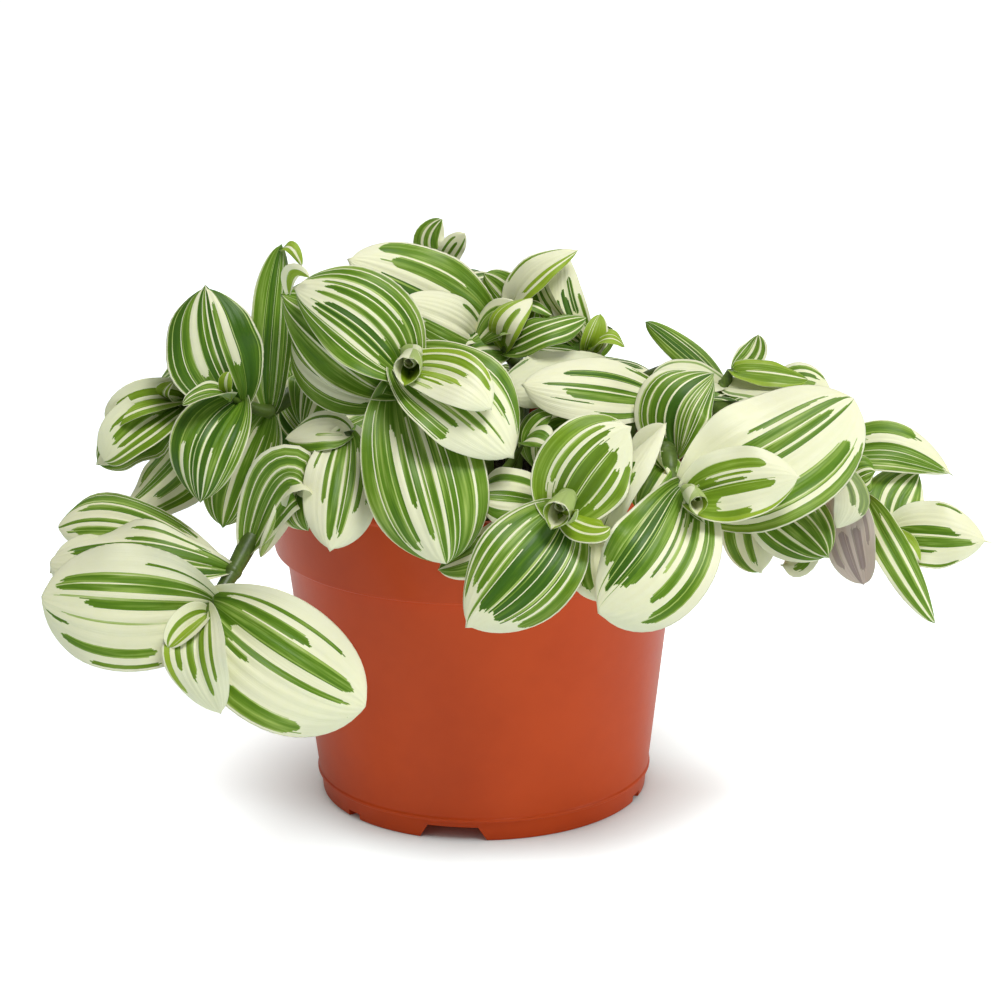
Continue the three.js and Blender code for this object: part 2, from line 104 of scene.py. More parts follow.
def node(tree, kind, settings=None, **inputs):
    """A node with its settings; an input is a number, a colour or another node's output."""
    made = tree.nodes.new(kind)
    for key, value in (settings or {}).items():
        setattr(made, key, value)
    for key, value in inputs.items():
        socket = made.inputs[int(key[1:])] if key[1:].isdigit() else made.inputs[key.replace("_", " ")]
        if isinstance(value, bpy.types.NodeSocket):
            tree.links.new(value, socket)
        else:
            socket.default_value = value
    return made


def calc(tree, operation, a, b=0.0, clamp=False):
    """One step of arithmetic on sockets or numbers."""
    return node(tree, "ShaderNodeMath", {"operation": operation, "use_clamp": clamp}, i0=a, i1=b).outputs[0]


def blend(tree, share, a, b, mode="MIX"):
    """Colour a turned to colour b by a share."""
    settings = {"data_type": "RGBA", "blend_type": mode}
    return node(tree, "ShaderNodeMix", settings, i0=share, i6=a, i7=b).outputs[2]


def step_up(tree, value, low, high):
    """0 below low, 1 above high and a smooth slope between."""
    made = node(tree, "ShaderNodeMapRange", {"interpolation_type": "SMOOTHSTEP"}, Value=value)
    made.inputs["From Min"].default_value = low
    made.inputs["From Max"].default_value = high
    return made.outputs[0]


def same_all_over(shader, **values):
    """Sets sockets that are the same on the whole piece; _ stands for a space in a name."""
    for key, value in values.items():
        shader.inputs[key.replace("_", " ")].default_value = value


# %% World, lamps and floor
WORLD_FILL, WORLD_SEEN = 0.19, 1.3
FLOOR_FILL, FLOOR_SEEN = 0.30, 0.88
FLOOR_REACH, FLOOR_TONE = 6000, (0.76, 0.88, 0.89, 1)  # a little blue takes out the pot's red cast
CONTACT_REACH, CONTACT_FALL = 45, 2.2
LAMP_TARGET = (0, 0, 100)
LAMPS = [  # name, place, size, watts
    ("key", (230, -440, 960), 400, 6.7),
    ("side", (850, -250, 330), 380, 1.9),
    ("fill", (-700, -600, 500), 700, 0.32),
    ("rear", (-150, 600, 800), 700, 2.0),
]


def seen_strength(tree, fill, seen):
    """One strength for what lights the plant and another for what the camera sees."""
    direct = node(tree, "ShaderNodeLightPath").outputs["Is Camera Ray"]
    return calc(tree, "ADD", calc(tree, "MULTIPLY", direct, seen - fill), fill)


def make_light():
    world = bpy.data.worlds.new("studio")
    world.use_nodes = True
    bpy.context.scene.world = world
    tree = world.node_tree
    tree.links.new(seen_strength(tree, WORLD_FILL, WORLD_SEEN), tree.nodes["Background"].inputs["Strength"])
    tree.nodes["Background"].inputs["Color"].default_value = (1, 1, 1, 1)
    for name, place, size, watts in LAMPS:
        data = bpy.data.lights.new(name, "AREA")
        data.shape, data.size, data.energy = "DISK", size * MM, watts
        lamp = bpy.data.objects.new(name, data)
        lamp.location = Vector(place) * MM
        ahead = Vector(LAMP_TARGET) * MM - lamp.location
        lamp.rotation_euler = ahead.to_track_quat("-Z", "Y").to_euler()
        bpy.context.scene.collection.objects.link(lamp)


def make_floor():
    reach = FLOOR_REACH * MM
    mesh = bpy.data.meshes.new("floor")
    mesh.from_pydata([(-reach, -reach, 0), (reach, -reach, 0), (reach, reach, 0), (-reach, reach, 0)],
                     [], [(0, 1, 2, 3)])
    floor = bpy.data.objects.new("floor", mesh)
    bpy.context.scene.collection.objects.link(floor)
    material, tree, shader = new_material("white sweep")
    same_all_over(shader, Base_Color=FLOOR_TONE, Roughness=0.9, Specular_IOR_Level=0.1,
                  Emission_Color=(1, 1, 1, 1))
    near = node(tree, "ShaderNodeAmbientOcclusion", Distance=CONTACT_REACH * MM).outputs["AO"]
    shade = calc(tree, "POWER", near, CONTACT_FALL)
    glow = calc(tree, "MULTIPLY", seen_strength(tree, FLOOR_FILL, FLOOR_SEEN), shade)
    tree.links.new(glow, shader.inputs["Emission Strength"])
    mesh.materials.append(material)
    return floor


bpy.context.scene.view_settings.view_transform = "Standard"
make_light()
print("lamps:", len(LAMPS), "and", make_floor().name)

# %% [markdown]
# ## Meshes and two shared surface effects
# Every visible piece is a plain mesh in place. Two effects come back more than
# once, so each is a node group: a mottle, which makes any moulded or grown
# surface a little uneven, and fine lines, which run along a leaf's veins.

# %% From points in millimetres to a piece
def new_piece(name, points, faces, material, uv=None, colours=None):
    """A smooth mesh piece. uv and each entry of colours hold one row per face corner."""
    mesh = bpy.data.meshes.new(name)
    mesh.from_pydata((np.asarray(points, float) * MM).tolist(), [], faces)
    mesh.polygons.foreach_set("use_smooth", [True] * len(mesh.polygons))
    if uv is not None:
        mesh.uv_layers.new(name="along").data.foreach_set("uv", np.asarray(uv, np.float32).ravel())
    for key, rows in (colours or {}).items():
        layer = mesh.color_attributes.new(key, "FLOAT_COLOR", "CORNER")
        layer.data.foreach_set("color", np.asarray(rows, np.float32).ravel())
    mesh.materials.append(material)
    piece = bpy.data.objects.new(name, mesh)
    bpy.context.scene.collection.objects.link(piece)
    return piece


def settle(piece, slot, *nodes):
    """The piece rides on the plant's one body and stands for its solids."""
    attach(piece, "root")
    if nodes:
        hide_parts(*nodes)
    print(piece.name, "faces:", len(piece.data.polygons))
    return piece


# %% The mottle and fine-line groups
def new_group(name, sockets):
    """An empty node group with float or vector inputs and one Value output."""
    group = bpy.data.node_groups.new(name, "ShaderNodeTree")
    for key, kind, default in sockets:
        socket = group.interface.new_socket(key, in_out="INPUT", socket_type=kind)
        if default is not None:
            socket.default_value = default
    group.interface.new_socket("Value", in_out="OUTPUT", socket_type="NodeSocketFloat")
    return group, group.nodes.new("NodeGroupInput").outputs, group.nodes.new("NodeGroupOutput")


def make_mottle():
    """Soft patches and fine specks between 0 and 1."""
    group, given, result = new_group("mottle", [
        ("Vector", "NodeSocketVector", None),
        ("Scale", "NodeSocketFloat", 100.0),
        ("Specks", "NodeSocketFloat", 0.3),
    ])
    broad = node(group, "ShaderNodeTexNoise", Vector=given["Vector"], Scale=given["Scale"], Detail=3.0)
    finer = calc(group, "MULTIPLY", given["Scale"], 9.0)
    fine = node(group, "ShaderNodeTexNoise", Vector=given["Vector"], Scale=finer, Detail=2.0)
    mixed = node(group, "ShaderNodeMix", Factor=given["Specks"], A=broad.outputs[0], B=fine.outputs[0])
    group.links.new(mixed.outputs[0], result.inputs[0])
    return group


def make_fine_lines():
    """Noise drawn out along v, so that it runs in lines across u."""
    group, given, result = new_group("fine lines", [
        ("Vector", "NodeSocketVector", None),
        ("Lines", "NodeSocketFloat", 60.0),
        ("Seed", "NodeSocketFloat", 0.0),
    ])
    parts = node(group, "ShaderNodeSeparateXYZ", Vector=given["Vector"])
    across = calc(group, "MULTIPLY", parts.outputs[0], given["Lines"])
    along = calc(group, "MULTIPLY", parts.outputs[1], 2.2)
    apart = calc(group, "MULTIPLY", given["Seed"], 37.0)
    place = node(group, "ShaderNodeCombineXYZ", X=across, Y=along, Z=apart)
    noise = node(group, "ShaderNodeTexNoise", Vector=place.outputs[0], Scale=1.0, Detail=2.0)
    group.links.new(noise.outputs[0], result.inputs[0])
    return group


MOTTLE, FINE_LINES = make_mottle(), make_fine_lines()


def mottle(tree, scale, specks):
    """The mottle, laid out in the piece's own space."""
    place = node(tree, "ShaderNodeTexCoord").outputs["Object"]
    settings = {"node_tree": MOTTLE}
    return node(tree, "ShaderNodeGroup", settings, Vector=place, Scale=scale, Specks=specks).outputs[0]


def fine_lines(tree, uv, lines, seed):
    """The fine lines, laid out along a leaf."""
    settings = {"node_tree": FINE_LINES}
    return node(tree, "ShaderNodeGroup", settings, Vector=uv, Lines=lines, Seed=seed).outputs[0]


def relief(tree, shader, height, strength, depth):
    """A fine relief, as deep as the given millimetres, for the shader's normal."""
    bump = node(tree, "ShaderNodeBump", Strength=strength, Distance=depth * MM, Height=height)
    tree.links.new(bump.outputs[0], shader.inputs["Normal"])


print("groups:", MOTTLE.name, "and", FINE_LINES.name)

# %% [markdown]
# ## The pot
# A moulded pot is a turned shape: one outline, spun round the axis. The real
# one has a wide band round its mouth with a rolled lip, a fine raised line just
# above the foot, and notches cut through the foot so water can drain. Spinning
# a rounded outline in a fine step keeps the highlights clean; the notches and
# drain holes are then cut with boolean modifiers.

# %% The pot's outline, from the middle of the underside round to the floor inside
POT_HEIGHT, RIM_RADIUS, BAND_LOW = 105, 65, 79
BAND_LOW_RADIUS, BODY_TOP_RADIUS = 63.6, 60.3
FOOT_RADIUS, FOOT_RIDGE_RADIUS, RIDGE_HEIGHT = 50.6, 51.7, 6.8
WALL, FOOT_WALL, FLOOR_RAISED, FLOOR_THICKNESS, PAD_RADIUS = 1.8, 2.7, 3, 2.4, 13
POT_STEPS = 240
POT_OUTLINE = [  # radius, height, rounding
    (PAD_RADIUS, 0, 0.3),
    (PAD_RADIUS + 0.3, FLOOR_RAISED, 0.4),
    (FOOT_RADIUS - FOOT_WALL, FLOOR_RAISED, 0.5),
    (FOOT_RADIUS - FOOT_WALL, 0, 0.4),
    (FOOT_RADIUS, 0, 0.6),
    (FOOT_RADIUS + 0.5, RIDGE_HEIGHT - 0.7, 0.2),
    (FOOT_RIDGE_RADIUS + 0.45, RIDGE_HEIGHT - 0.4, 0.25),
    (FOOT_RIDGE_RADIUS + 0.45, RIDGE_HEIGHT + 0.4, 0.25),
    (FOOT_RIDGE_RADIUS, RIDGE_HEIGHT + 0.8, 0.3),
    (BODY_TOP_RADIUS, BAND_LOW + 0.4, 0.5),
    (BAND_LOW_RADIUS, BAND_LOW, 0.8),
    (RIM_RADIUS, POT_HEIGHT - 3.4, 0.4),
    (RIM_RADIUS + 0.5, POT_HEIGHT - 2.6, 0.5),
    (RIM_RADIUS + 0.5, POT_HEIGHT - 0.2, 0.7),
    (RIM_RADIUS - 1.6, POT_HEIGHT, 0.7),
    (RIM_RADIUS - 1.9, POT_HEIGHT - 1.6, 0.5),
    (BAND_LOW_RADIUS - WALL, BAND_LOW + WALL, 0.6),
    (BODY_TOP_RADIUS - WALL, BAND_LOW + WALL, 0.6),
    (FOOT_RIDGE_RADIUS - WALL, FLOOR_RAISED + FLOOR_THICKNESS, 0.8),
]


def rounded(outline, steps=4):
    """Each corner replaced by a short arc that keeps its rounding's distance."""
    points = []
    count = len(outline)
    for k, (r, z, size) in enumerate(outline):
        here = np.array((r, z))
        if k in (0, count - 1):
            points.append(here)
            continue
        before, after = (np.array(outline[k + d][:2]) for d in (-1, 1))
        arms = [side - here for side in (before, after)]
        starts = [here + arm / np.linalg.norm(arm) * min(size, np.linalg.norm(arm) / 2.1) for arm in arms]
        for share in np.linspace(0, 1, steps):
            rest = 1 - share
            points.append(rest ** 2 * starts[0] + 2 * share * rest * here + share ** 2 * starts[1])
    return points


def turned(name, outline, steps, material):
    """A closed spin of (radius, height) points, with a centre point at each end."""
    angles = np.arange(steps) * 2 * math.pi / steps
    points = [(0, 0, outline[0][1])]
    for r, z in outline:
        points += [(r * math.cos(a), r * math.sin(a), z) for a in angles]
    points.append((0, 0, outline[-1][1]))
    faces = []
    last = len(points) - 1
    for k in range(steps):
        follow = (k + 1) % steps
        faces.append((0, 1 + follow, 1 + k))
        for row in range(len(outline) - 1):
            low, high = 1 + row * steps, 1 + (row + 1) * steps
            faces.append((low + k, low + follow, high + follow, high + k))
        top = 1 + (len(outline) - 1) * steps
        faces.append((top + k, top + follow, last))
    return new_piece(name, points, faces, material)


print("the pot's outline:", len(rounded(POT_OUTLINE)), "points from", len(POT_OUTLINE), "corners")

# %% The pot's satin plastic
POT_TONES = (0.59, 0.063, 0.006, 1), (0.66, 0.076, 0.008, 1)
POT_SATIN, POT_SATIN_VARIES = 0.30, 0.12


def pot_plastic():
    """Orange-brown moulded plastic: even colour, slight cloudiness, a satin skin."""
    material, tree, shader = new_material("orange-brown plastic")
    cloud, grain = mottle(tree, 26.0, 0.15), mottle(tree, 420.0, 0.5)
    colour = blend(tree, step_up(tree, cloud, 0.3, 0.7), *POT_TONES)
    tree.links.new(colour, shader.inputs["Base Color"])
    rough = calc(tree, "ADD", calc(tree, "MULTIPLY", grain, POT_SATIN_VARIES), POT_SATIN)
    tree.links.new(rough, shader.inputs["Roughness"])
    relief(tree, shader, grain, 0.12, 0.2)
    same_all_over(shader, Specular_IOR_Level=0.22)
    return material


PLASTIC = pot_plastic()
print(PLASTIC.name, "nodes:", len(PLASTIC.node_tree.nodes))

# %% Spin the pot, then cut the foot notches and the drain holes
NOTCH = {"height": 4.4, "low": 22, "top": 15.5, "azimuth": -101}
SLOT = {"height": 2.0, "low": 5.5, "top": 5.5, "azimuth": -142}
DRAIN_RADIUS, DRAIN_DISTANCE, DRAIN_LOW, DRAIN_TOP = 4.5, 30, 1, 9
THIRDS = (0, 120, 240)
SHARP_FROM = 40


def wedge(size, azimuth):
    """A block through the foot's wall, wider at the floor than at its top."""
    below, inner, outer = -1.0, FOOT_RADIUS - 8, FOOT_RADIUS + 6
    points = []
    for out in (inner, outer):
        for z, width in ((below, size["low"]), (size["height"], size["top"])):
            points += [(out, -width / 2, z), (out, width / 2, z)]
    turn = Matrix.Rotation(math.radians(azimuth), 3, "Z")
    faces = [(2, 3, 1, 0), (5, 7, 6, 4), (1, 5, 4, 0), (6, 7, 3, 2), (4, 6, 2, 0), (3, 7, 5, 1)]
    return new_piece("cutter", [turn @ Vector(p) for p in points], faces, PLASTIC)


def drain(azimuth):
    """A round plug through the floor of the pot."""
    piece = turned("cutter", [(DRAIN_RADIUS, DRAIN_LOW), (DRAIN_RADIUS, DRAIN_TOP)], 40, PLASTIC)
    away = Matrix.Rotation(math.radians(azimuth), 4, "Z") @ Vector((DRAIN_DISTANCE * MM, 0, 0))
    piece.data.transform(Matrix.Translation(away))
    return piece


def bake_modifiers(piece):
    """The evaluated shape becomes the piece's own plain mesh."""
    view = piece.evaluated_get(bpy.context.evaluated_depsgraph_get())
    mesh = bpy.data.meshes.new_from_object(view)
    piece.modifiers.clear()
    piece.data = mesh
    return piece


def make_pot():
    pot = turned("pot_shell", rounded(POT_OUTLINE), POT_STEPS, PLASTIC)
    cutters = []
    for turn in THIRDS:
        cutters += [wedge(NOTCH, NOTCH["azimuth"] + turn), wedge(SLOT, SLOT["azimuth"] + turn)]
        cutters.append(drain(NOTCH["azimuth"] + turn))
    for cutter in cutters:
        modifier = pot.modifiers.new("cut", "BOOLEAN")
        modifier.operation, modifier.solver, modifier.object = "DIFFERENCE", "EXACT", cutter
    bake_modifiers(pot)
    for cutter in cutters:
        bpy.data.objects.remove(cutter)
    pot.data.set_sharp_from_angle(angle=math.radians(SHARP_FROM))
    return pot


settle(make_pot(), "pot", "pot")

# %% [markdown]
# ## The soil
# Potting mix is dark and crumbly. Its body is a turned plug with an uneven top;
# the crumbs on it are scattered by Geometry Nodes, which turns, scales and
# seats each one at random from a fixed seed.

# %% Dark soil, from fine dust to bark crumbs
SOIL_TONES = (0.012, 0.008, 0.006, 1), (0.06, 0.038, 0.024, 1)


def soil_finish():
    material, tree, shader = new_material("potting mix")
    grain = mottle(tree, 240.0, 0.5)
    colour = blend(tree, step_up(tree, grain, 0.35, 0.7), *SOIL_TONES)
    tree.links.new(colour, shader.inputs["Base Color"])
    relief(tree, shader, grain, 0.7, 0.8)
    same_all_over(shader, Roughness=0.95)
    return material


SOIL = soil_finish()
print(SOIL.name, "nodes:", len(SOIL.node_tree.nodes))

# %% The soil's body, a plug with an uneven top
SOIL_EDGE, SOIL_MIDDLE, SOIL_RADIUS = 88.5, 91.5, 61.2


def make_soil_body():
    low = FLOOR_RAISED + FLOOR_THICKNESS + 0.4
    inner_foot, inner_top = FOOT_RIDGE_RADIUS - WALL - 0.5, BODY_TOP_RADIUS - WALL - 0.6
    outline = [(inner_foot, low), (inner_top, BAND_LOW + WALL), (SOIL_RADIUS - 0.4, BAND_LOW + WALL + 0.6),
               (SOIL_RADIUS, SOIL_EDGE)]
    outline += [(SOIL_RADIUS * share, SOIL_MIDDLE + (SOIL_EDGE - SOIL_MIDDLE) * share ** 2)
                for share in np.linspace(0.97, 0.04, 24)]
    body = turned("soil_body", outline, 96, SOIL)
    for vertex in body.data.vertices:
        if vertex.co.z > (SOIL_EDGE - 0.5) * MM and math.hypot(*vertex.co.xy) < (SOIL_RADIUS - 1) * MM:
            x, y = vertex.co.xy / MM
            broad = math.sin(x * 0.31 + 1) * math.cos(y * 0.27)
            vertex.co.z += (broad + 0.5 * math.sin(x * 0.9 - y * 0.7)) * MM
    return body


settle(make_soil_body(), "soil", "soil")


# %% Crumbs scattered by Geometry Nodes
def geometry_tree(name, inputs):
    """An empty geometry tree with named inputs: the tree, its input outputs and its output node."""
    tree = bpy.data.node_groups.new(name, "GeometryNodeTree")
    tree.interface.new_socket("Geometry", in_out="INPUT", socket_type="NodeSocketGeometry")
    for key, kind in inputs:
        tree.interface.new_socket(key, in_out="INPUT", socket_type=kind)
    tree.interface.new_socket("Geometry", in_out="OUTPUT", socket_type="NodeSocketGeometry")
    return tree, tree.nodes.new("NodeGroupInput").outputs, tree.nodes.new("NodeGroupOutput")


def run_tree(piece, tree, **values):
    """Runs a geometry tree on a piece and keeps the result as its plain mesh."""
    modifier = piece.modifiers.new(tree.name, "NODES")
    modifier.node_group = tree
    for socket in tree.interface.items_tree:
        if socket.in_out == "INPUT" and socket.name in values:
            modifier[socket.identifier] = values[socket.name]
    return bake_modifiers(piece)


def close_tree(tree, geometry, material, result):
    """Real meshes with their material, as the last two steps of each tree."""
    real = node(tree, "GeometryNodeRealizeInstances", Geometry=geometry).outputs[0]
    dressed = node(tree, "GeometryNodeSetMaterial", Geometry=real)
    dressed.inputs["Material"].default_value = material
    tree.links.new(dressed.outputs[0], result.inputs[0])


ANY_TURN = (6.28, 6.28, 6.28)


def crumb_tree():
    tree, given, result = geometry_tree("crumbs", [
        ("Per square metre", "NodeSocketFloat"), ("Smallest", "NodeSocketFloat"),
        ("Largest", "NodeSocketFloat"), ("Seed", "NodeSocketInt")])
    spots = node(tree, "GeometryNodeDistributePointsOnFaces", Mesh=given["Geometry"], Seed=given["Seed"],
                 Density=given["Per square metre"])
    ball = node(tree, "GeometryNodeMeshIcoSphere", Radius=1.0, Subdivisions=2)
    wobble = node(tree, "ShaderNodeTexNoise", Scale=1.3, Detail=1.0)
    push = node(tree, "ShaderNodeVectorMath", {"operation": "SCALE"},
                i0=node(tree, "GeometryNodeInputNormal").outputs[0],
                Scale=calc(tree, "SUBTRACT", wobble.outputs[0], 0.6))
    lump = node(tree, "GeometryNodeSetPosition", Geometry=ball.outputs[0], Offset=push.outputs[0])
    turn = node(tree, "FunctionNodeRandomValue", {"data_type": "FLOAT_VECTOR"}, Seed=given["Seed"])
    turn.inputs["Max"].default_value = ANY_TURN
    size = node(tree, "FunctionNodeRandomValue", {"data_type": "FLOAT"}, Seed=given["Seed"])
    tree.links.new(given["Smallest"], size.inputs[2])
    tree.links.new(given["Largest"], size.inputs[3])
    placed = node(tree, "GeometryNodeInstanceOnPoints", Points=spots.outputs[0], Instance=lump.outputs[0],
                  Rotation=turn.outputs[0], Scale=size.outputs[1])
    close_tree(tree, placed.outputs[0], SOIL, result)
    return tree


CRUMB_RINGS = (20, 40, 57.5)


def soil_top_disc():
    """The soil's surface a little inside the pot, as ground for the crumbs."""
    points, faces, steps = [(0, 0, SOIL_MIDDLE)], [], 48
    for ring in CRUMB_RINGS:
        height = SOIL_MIDDLE + (SOIL_EDGE - SOIL_MIDDLE) * (ring / SOIL_RADIUS) ** 2
        points += [(ring * math.cos(k * math.tau / steps), ring * math.sin(k * math.tau / steps), height)
                   for k in range(steps)]
    for k in range(steps):
        follow = (k + 1) % steps
        faces.append((0, 1 + k, 1 + follow))
        for row in (0, 1):
            low, high = 1 + row * steps, 1 + (row + 1) * steps
            faces.append((low + k, high + k, high + follow, low + follow))
    return new_piece("soil_crumbs", points, faces, SOIL)


crumbs = run_tree(soil_top_disc(), crumb_tree(), **{
    "Per square metre": 165000.0, "Smallest": 0.0007, "Largest": 0.0024, "Seed": 7})
settle(crumbs, "soil", "soil")

# %% [markdown]
# ## The shoots, written leaf by leaf
# Each shoot is written as the nodes its stem passes through, then its leaves.
# A leaf's row gives where it grows from, the middle of its midrib, its tip, the
# way it faces, its width, its cup and its stripe score. A leaf grows from a
# node of the stem, given by its number; one on a side shoot or between nodes
# starts at a point of its own.
#
# The stripes of this plant follow the veins from the leaf's root to its tip, so
# a leaf can be written like a bar code. A score lists the bands from the leaf's
# left edge to its right edge, with the tip up and the upper face to the reader:
# c is cream, p pale green, g green, d dark green and y the yellow-green of
# young growth, with the band's share of the width. ":2-8" makes a band run only
# from 0.2 to 0.8 of the leaf's length. A thin vein never ends straight, so each
# column of the leaf ends a little before or after its neighbours.

# %% The shoots on the left
FRONT_SHOOTS = {
    "low_left": {
        "nodes": [(-30, -12), (-40, -22, 112), (-55, -41, 113), (-63, -49, 104),
                  (-72, -62, 90), (-78, -72, 83), (-79, -77, 82)],
        "leaves": [
            (5, (-101, -79, 85), (-126, -74, 87), (-0.2, -1, 0.35), 34, -0.15,
             "c.4 g.8:3-7 c1.2 g1.5:3-9 c2 g.9:8-10 c1.4 p.4:1-9 c2.2 g1.4:0-8 p.5:0-9 c.9 "
             "g3.6:0-9 c1.5 g.6:0-4 c3"),
            (5, (-59, -86, 71), (-34, -84, 56), (0.1, -1, 0.45), 35, -0.2,
             "c3 g.7:0-8 c1.2 g1.8:0-6 c.3 g2.8:0-9 c2 g1:1-9 c.6 g1:0-4 c2 g.8:9-10 c1.4 g3:3-8 c.5"),
            (4, (-98, -68, 97), (-125, -60, 93), (-0.1, -0.9, 1), 26, -0.25,
             "c1.5 g1:0-7 c.6 d3:0-9 c.3 g2:0-8 c.25 g2.4:0-9 c.4 g1:0-6 c1.6 g.8:1-6 c1.5"),
            (4, (-103, -52, 103), (-124, -46, 99), (-0.1, -0.7, 1), 20, -0.2,
             "c2 g2:0-9 c1 g1 c2 g1.5:1-8 c.6 g3:2-10 c.3"),
            (6, (-81, -90, 74), (-75, -90, 57), (-0.25, -1, 0.3), 19, -0.1,
             "c2.6 g.8:0-8 c.8 g1.1:0-9 c1.2 g1.2:1-7 c1 g1:0-6 c.8 y1:0-8 c.4"),
            (6, (-85, -84, 80), (-89, -88, 76), (-0.2, -1, 0.5), 9, 0.5,
             "c1 y2 c1.5 g1 c1.5"),
            ((-67, -56, 95), (-57, -61, 117), (-49, -63, 112), (-0.3, -1, 0.25), 19, -0.05,
             "c.8 g1.6:0-9 c.3 g2:0-9 c.35 g2.2:0-9 c.4 g2:0-8 c.5 g2:0-7 c.3 g1:1-6 c1"),
            ((-56, -56, 112), (-58, -61, 105), (-64, -61, 94), (0.6, -1, 0.2), 7, -0.2,
             "c1.4 p1.4 c.6"),
            ((-109, -58, 93), (-116, -59, 95), (-125, -61, 90), (-0.1, -1, 0.6), 11, 0,
             "c2 g.8:2-8 c2"),
        ],
    },
    "left_upper": {
        "nodes": [(-24, 0), (-34, -4, 118), (-50, -16, 134),
                  (-62, -36, 131), (-70, -44, 136), (-72, -47, 138)],
        "leaves": [
            (4, (-77, -46, 153), (-79, -40, 169), (-0.15, -1, 0.3), 29, -0.1,
             "c.3 d2.4 c.2:2-10 g1.6 c1.3:3-11 d1 c.2 g.8 c.2 d.9 c.2 g.8:0-9 c1.4:3-11 d3.6 c.3"),
            (4, (-79, -58, 127), (-81, -60, 111), (-0.2, -1, 0.5), 23, -0.2,
             "c.3 g1.8 c.3:3-11 d1.6 c.3:2-11 g1.8 c.5:5-11 d1.6 c.25 d2 c.3:4-11 g1.4 "
             "c.9:5-11 d2.6 c.4"),
            (5, (-78, -54, 141), (-85, -58, 139), (0, -0.3, 1), 8, 0.5,
             "c.6 g2.4 c.3 g2 c.3 g1.4 c.6"),
            (3, (-60, -38, 156), (-57, -34, 180), (0.5, -1, 0.1), 14, -0.3,
             "c.3 g4 p.15 d4 p.15 g4 p.12 d3 c.3"),
            (3, (-71, -40, 114), (-76, -43, 98), (0.3, -1, 0.45), 21, -0.2,
             "c.4 g2 c.3 g1.8 c.3 g1.8 c.8 g2.8 c.3 g2 c.3"),
            (2, (-49, -32, 138), (-52, -38, 127), (-0.1, -1, 0.2), 15, -0.1,
             "g2 c1 g2 c.5 g2"),
            ((-57, -34, 178), (-54, -36, 180), (-51, -38, 175), (0.2, -1, 0.6), 4, -0.2,
             "y1.6 c.6 y1"),
            ((-72, -47, 138), (-73, -51, 143), (-72, -52, 147), (-0.6, -1, 0), 5, 0.2,
             "y1 c.5 y1"),
            ((-41, -21, 112), (-53, -11, 129), (-58, -8, 139), (0.1, -1, 0.2), 17, -0.1,
             "g2 c.8 g2.4 c.4 g2"),
            ((-42, -11, 127), (-46, -19, 132), (-56, -14, 138), (-0.1, -1, 0.5), 17, -0.1,
             "c.3 g2 c.5 g2.4 c.9 g2 c.3"),
        ],
    },
    "far_left": {
        "nodes": [(-36, 12), (-52, 10, 120), (-74, -4, 136), (-81, -20, 126), (-87, -24, 131)],
        "leaves": [
            (4, (-99, -32, 125), (-113, -34, 115), (-0.3, -1, 0.8), 22, 0.15,
             "c.3 g2.4 c.6 g2:1-9 c1 g1.6:0-8 c.5 g1.8 c.5 g1 c.6"),
            (4, (-88, -28, 137), (-91, -30, 142), (-0.8, -1, 0.1), 5, 0.3,
             "c.5 g2 c.5"),
            ((-81, -21, 124), (-89, -36, 113), (-104, -46, 104), (-0.1, -0.8, 1), 23, -0.2,
             "c1 g1.6 c1.2 g1.6:0-8 c1.2 g2 c1 g1.2:0-8 c.8"),
            (4, (-100, -40, 127), (-110, -42, 118), (-0.2, -1, 0.5), 17, 0.3,
             "c.3 g1.4 c.5 g1 c.5 g1:0-8 c.6 g1.4:0-8 c.6 g.6:0-7 c1.6"),
            (4, (-100, -37, 134), (-109, -37, 127), (-0.2, -1, 0.5), 11, 0.3,
             "g1 c.4 g1.2 c.4 g.8:0-8 c1"),
            (4, (-93, -32, 135), (-90, -32, 139), (-0.4, -1, 0.3), 6, 0.4,
             "c.3 g2 c.4 g1 c.5"),
        ],
    },
}
print("shoots so far:", len(FRONT_SHOOTS))

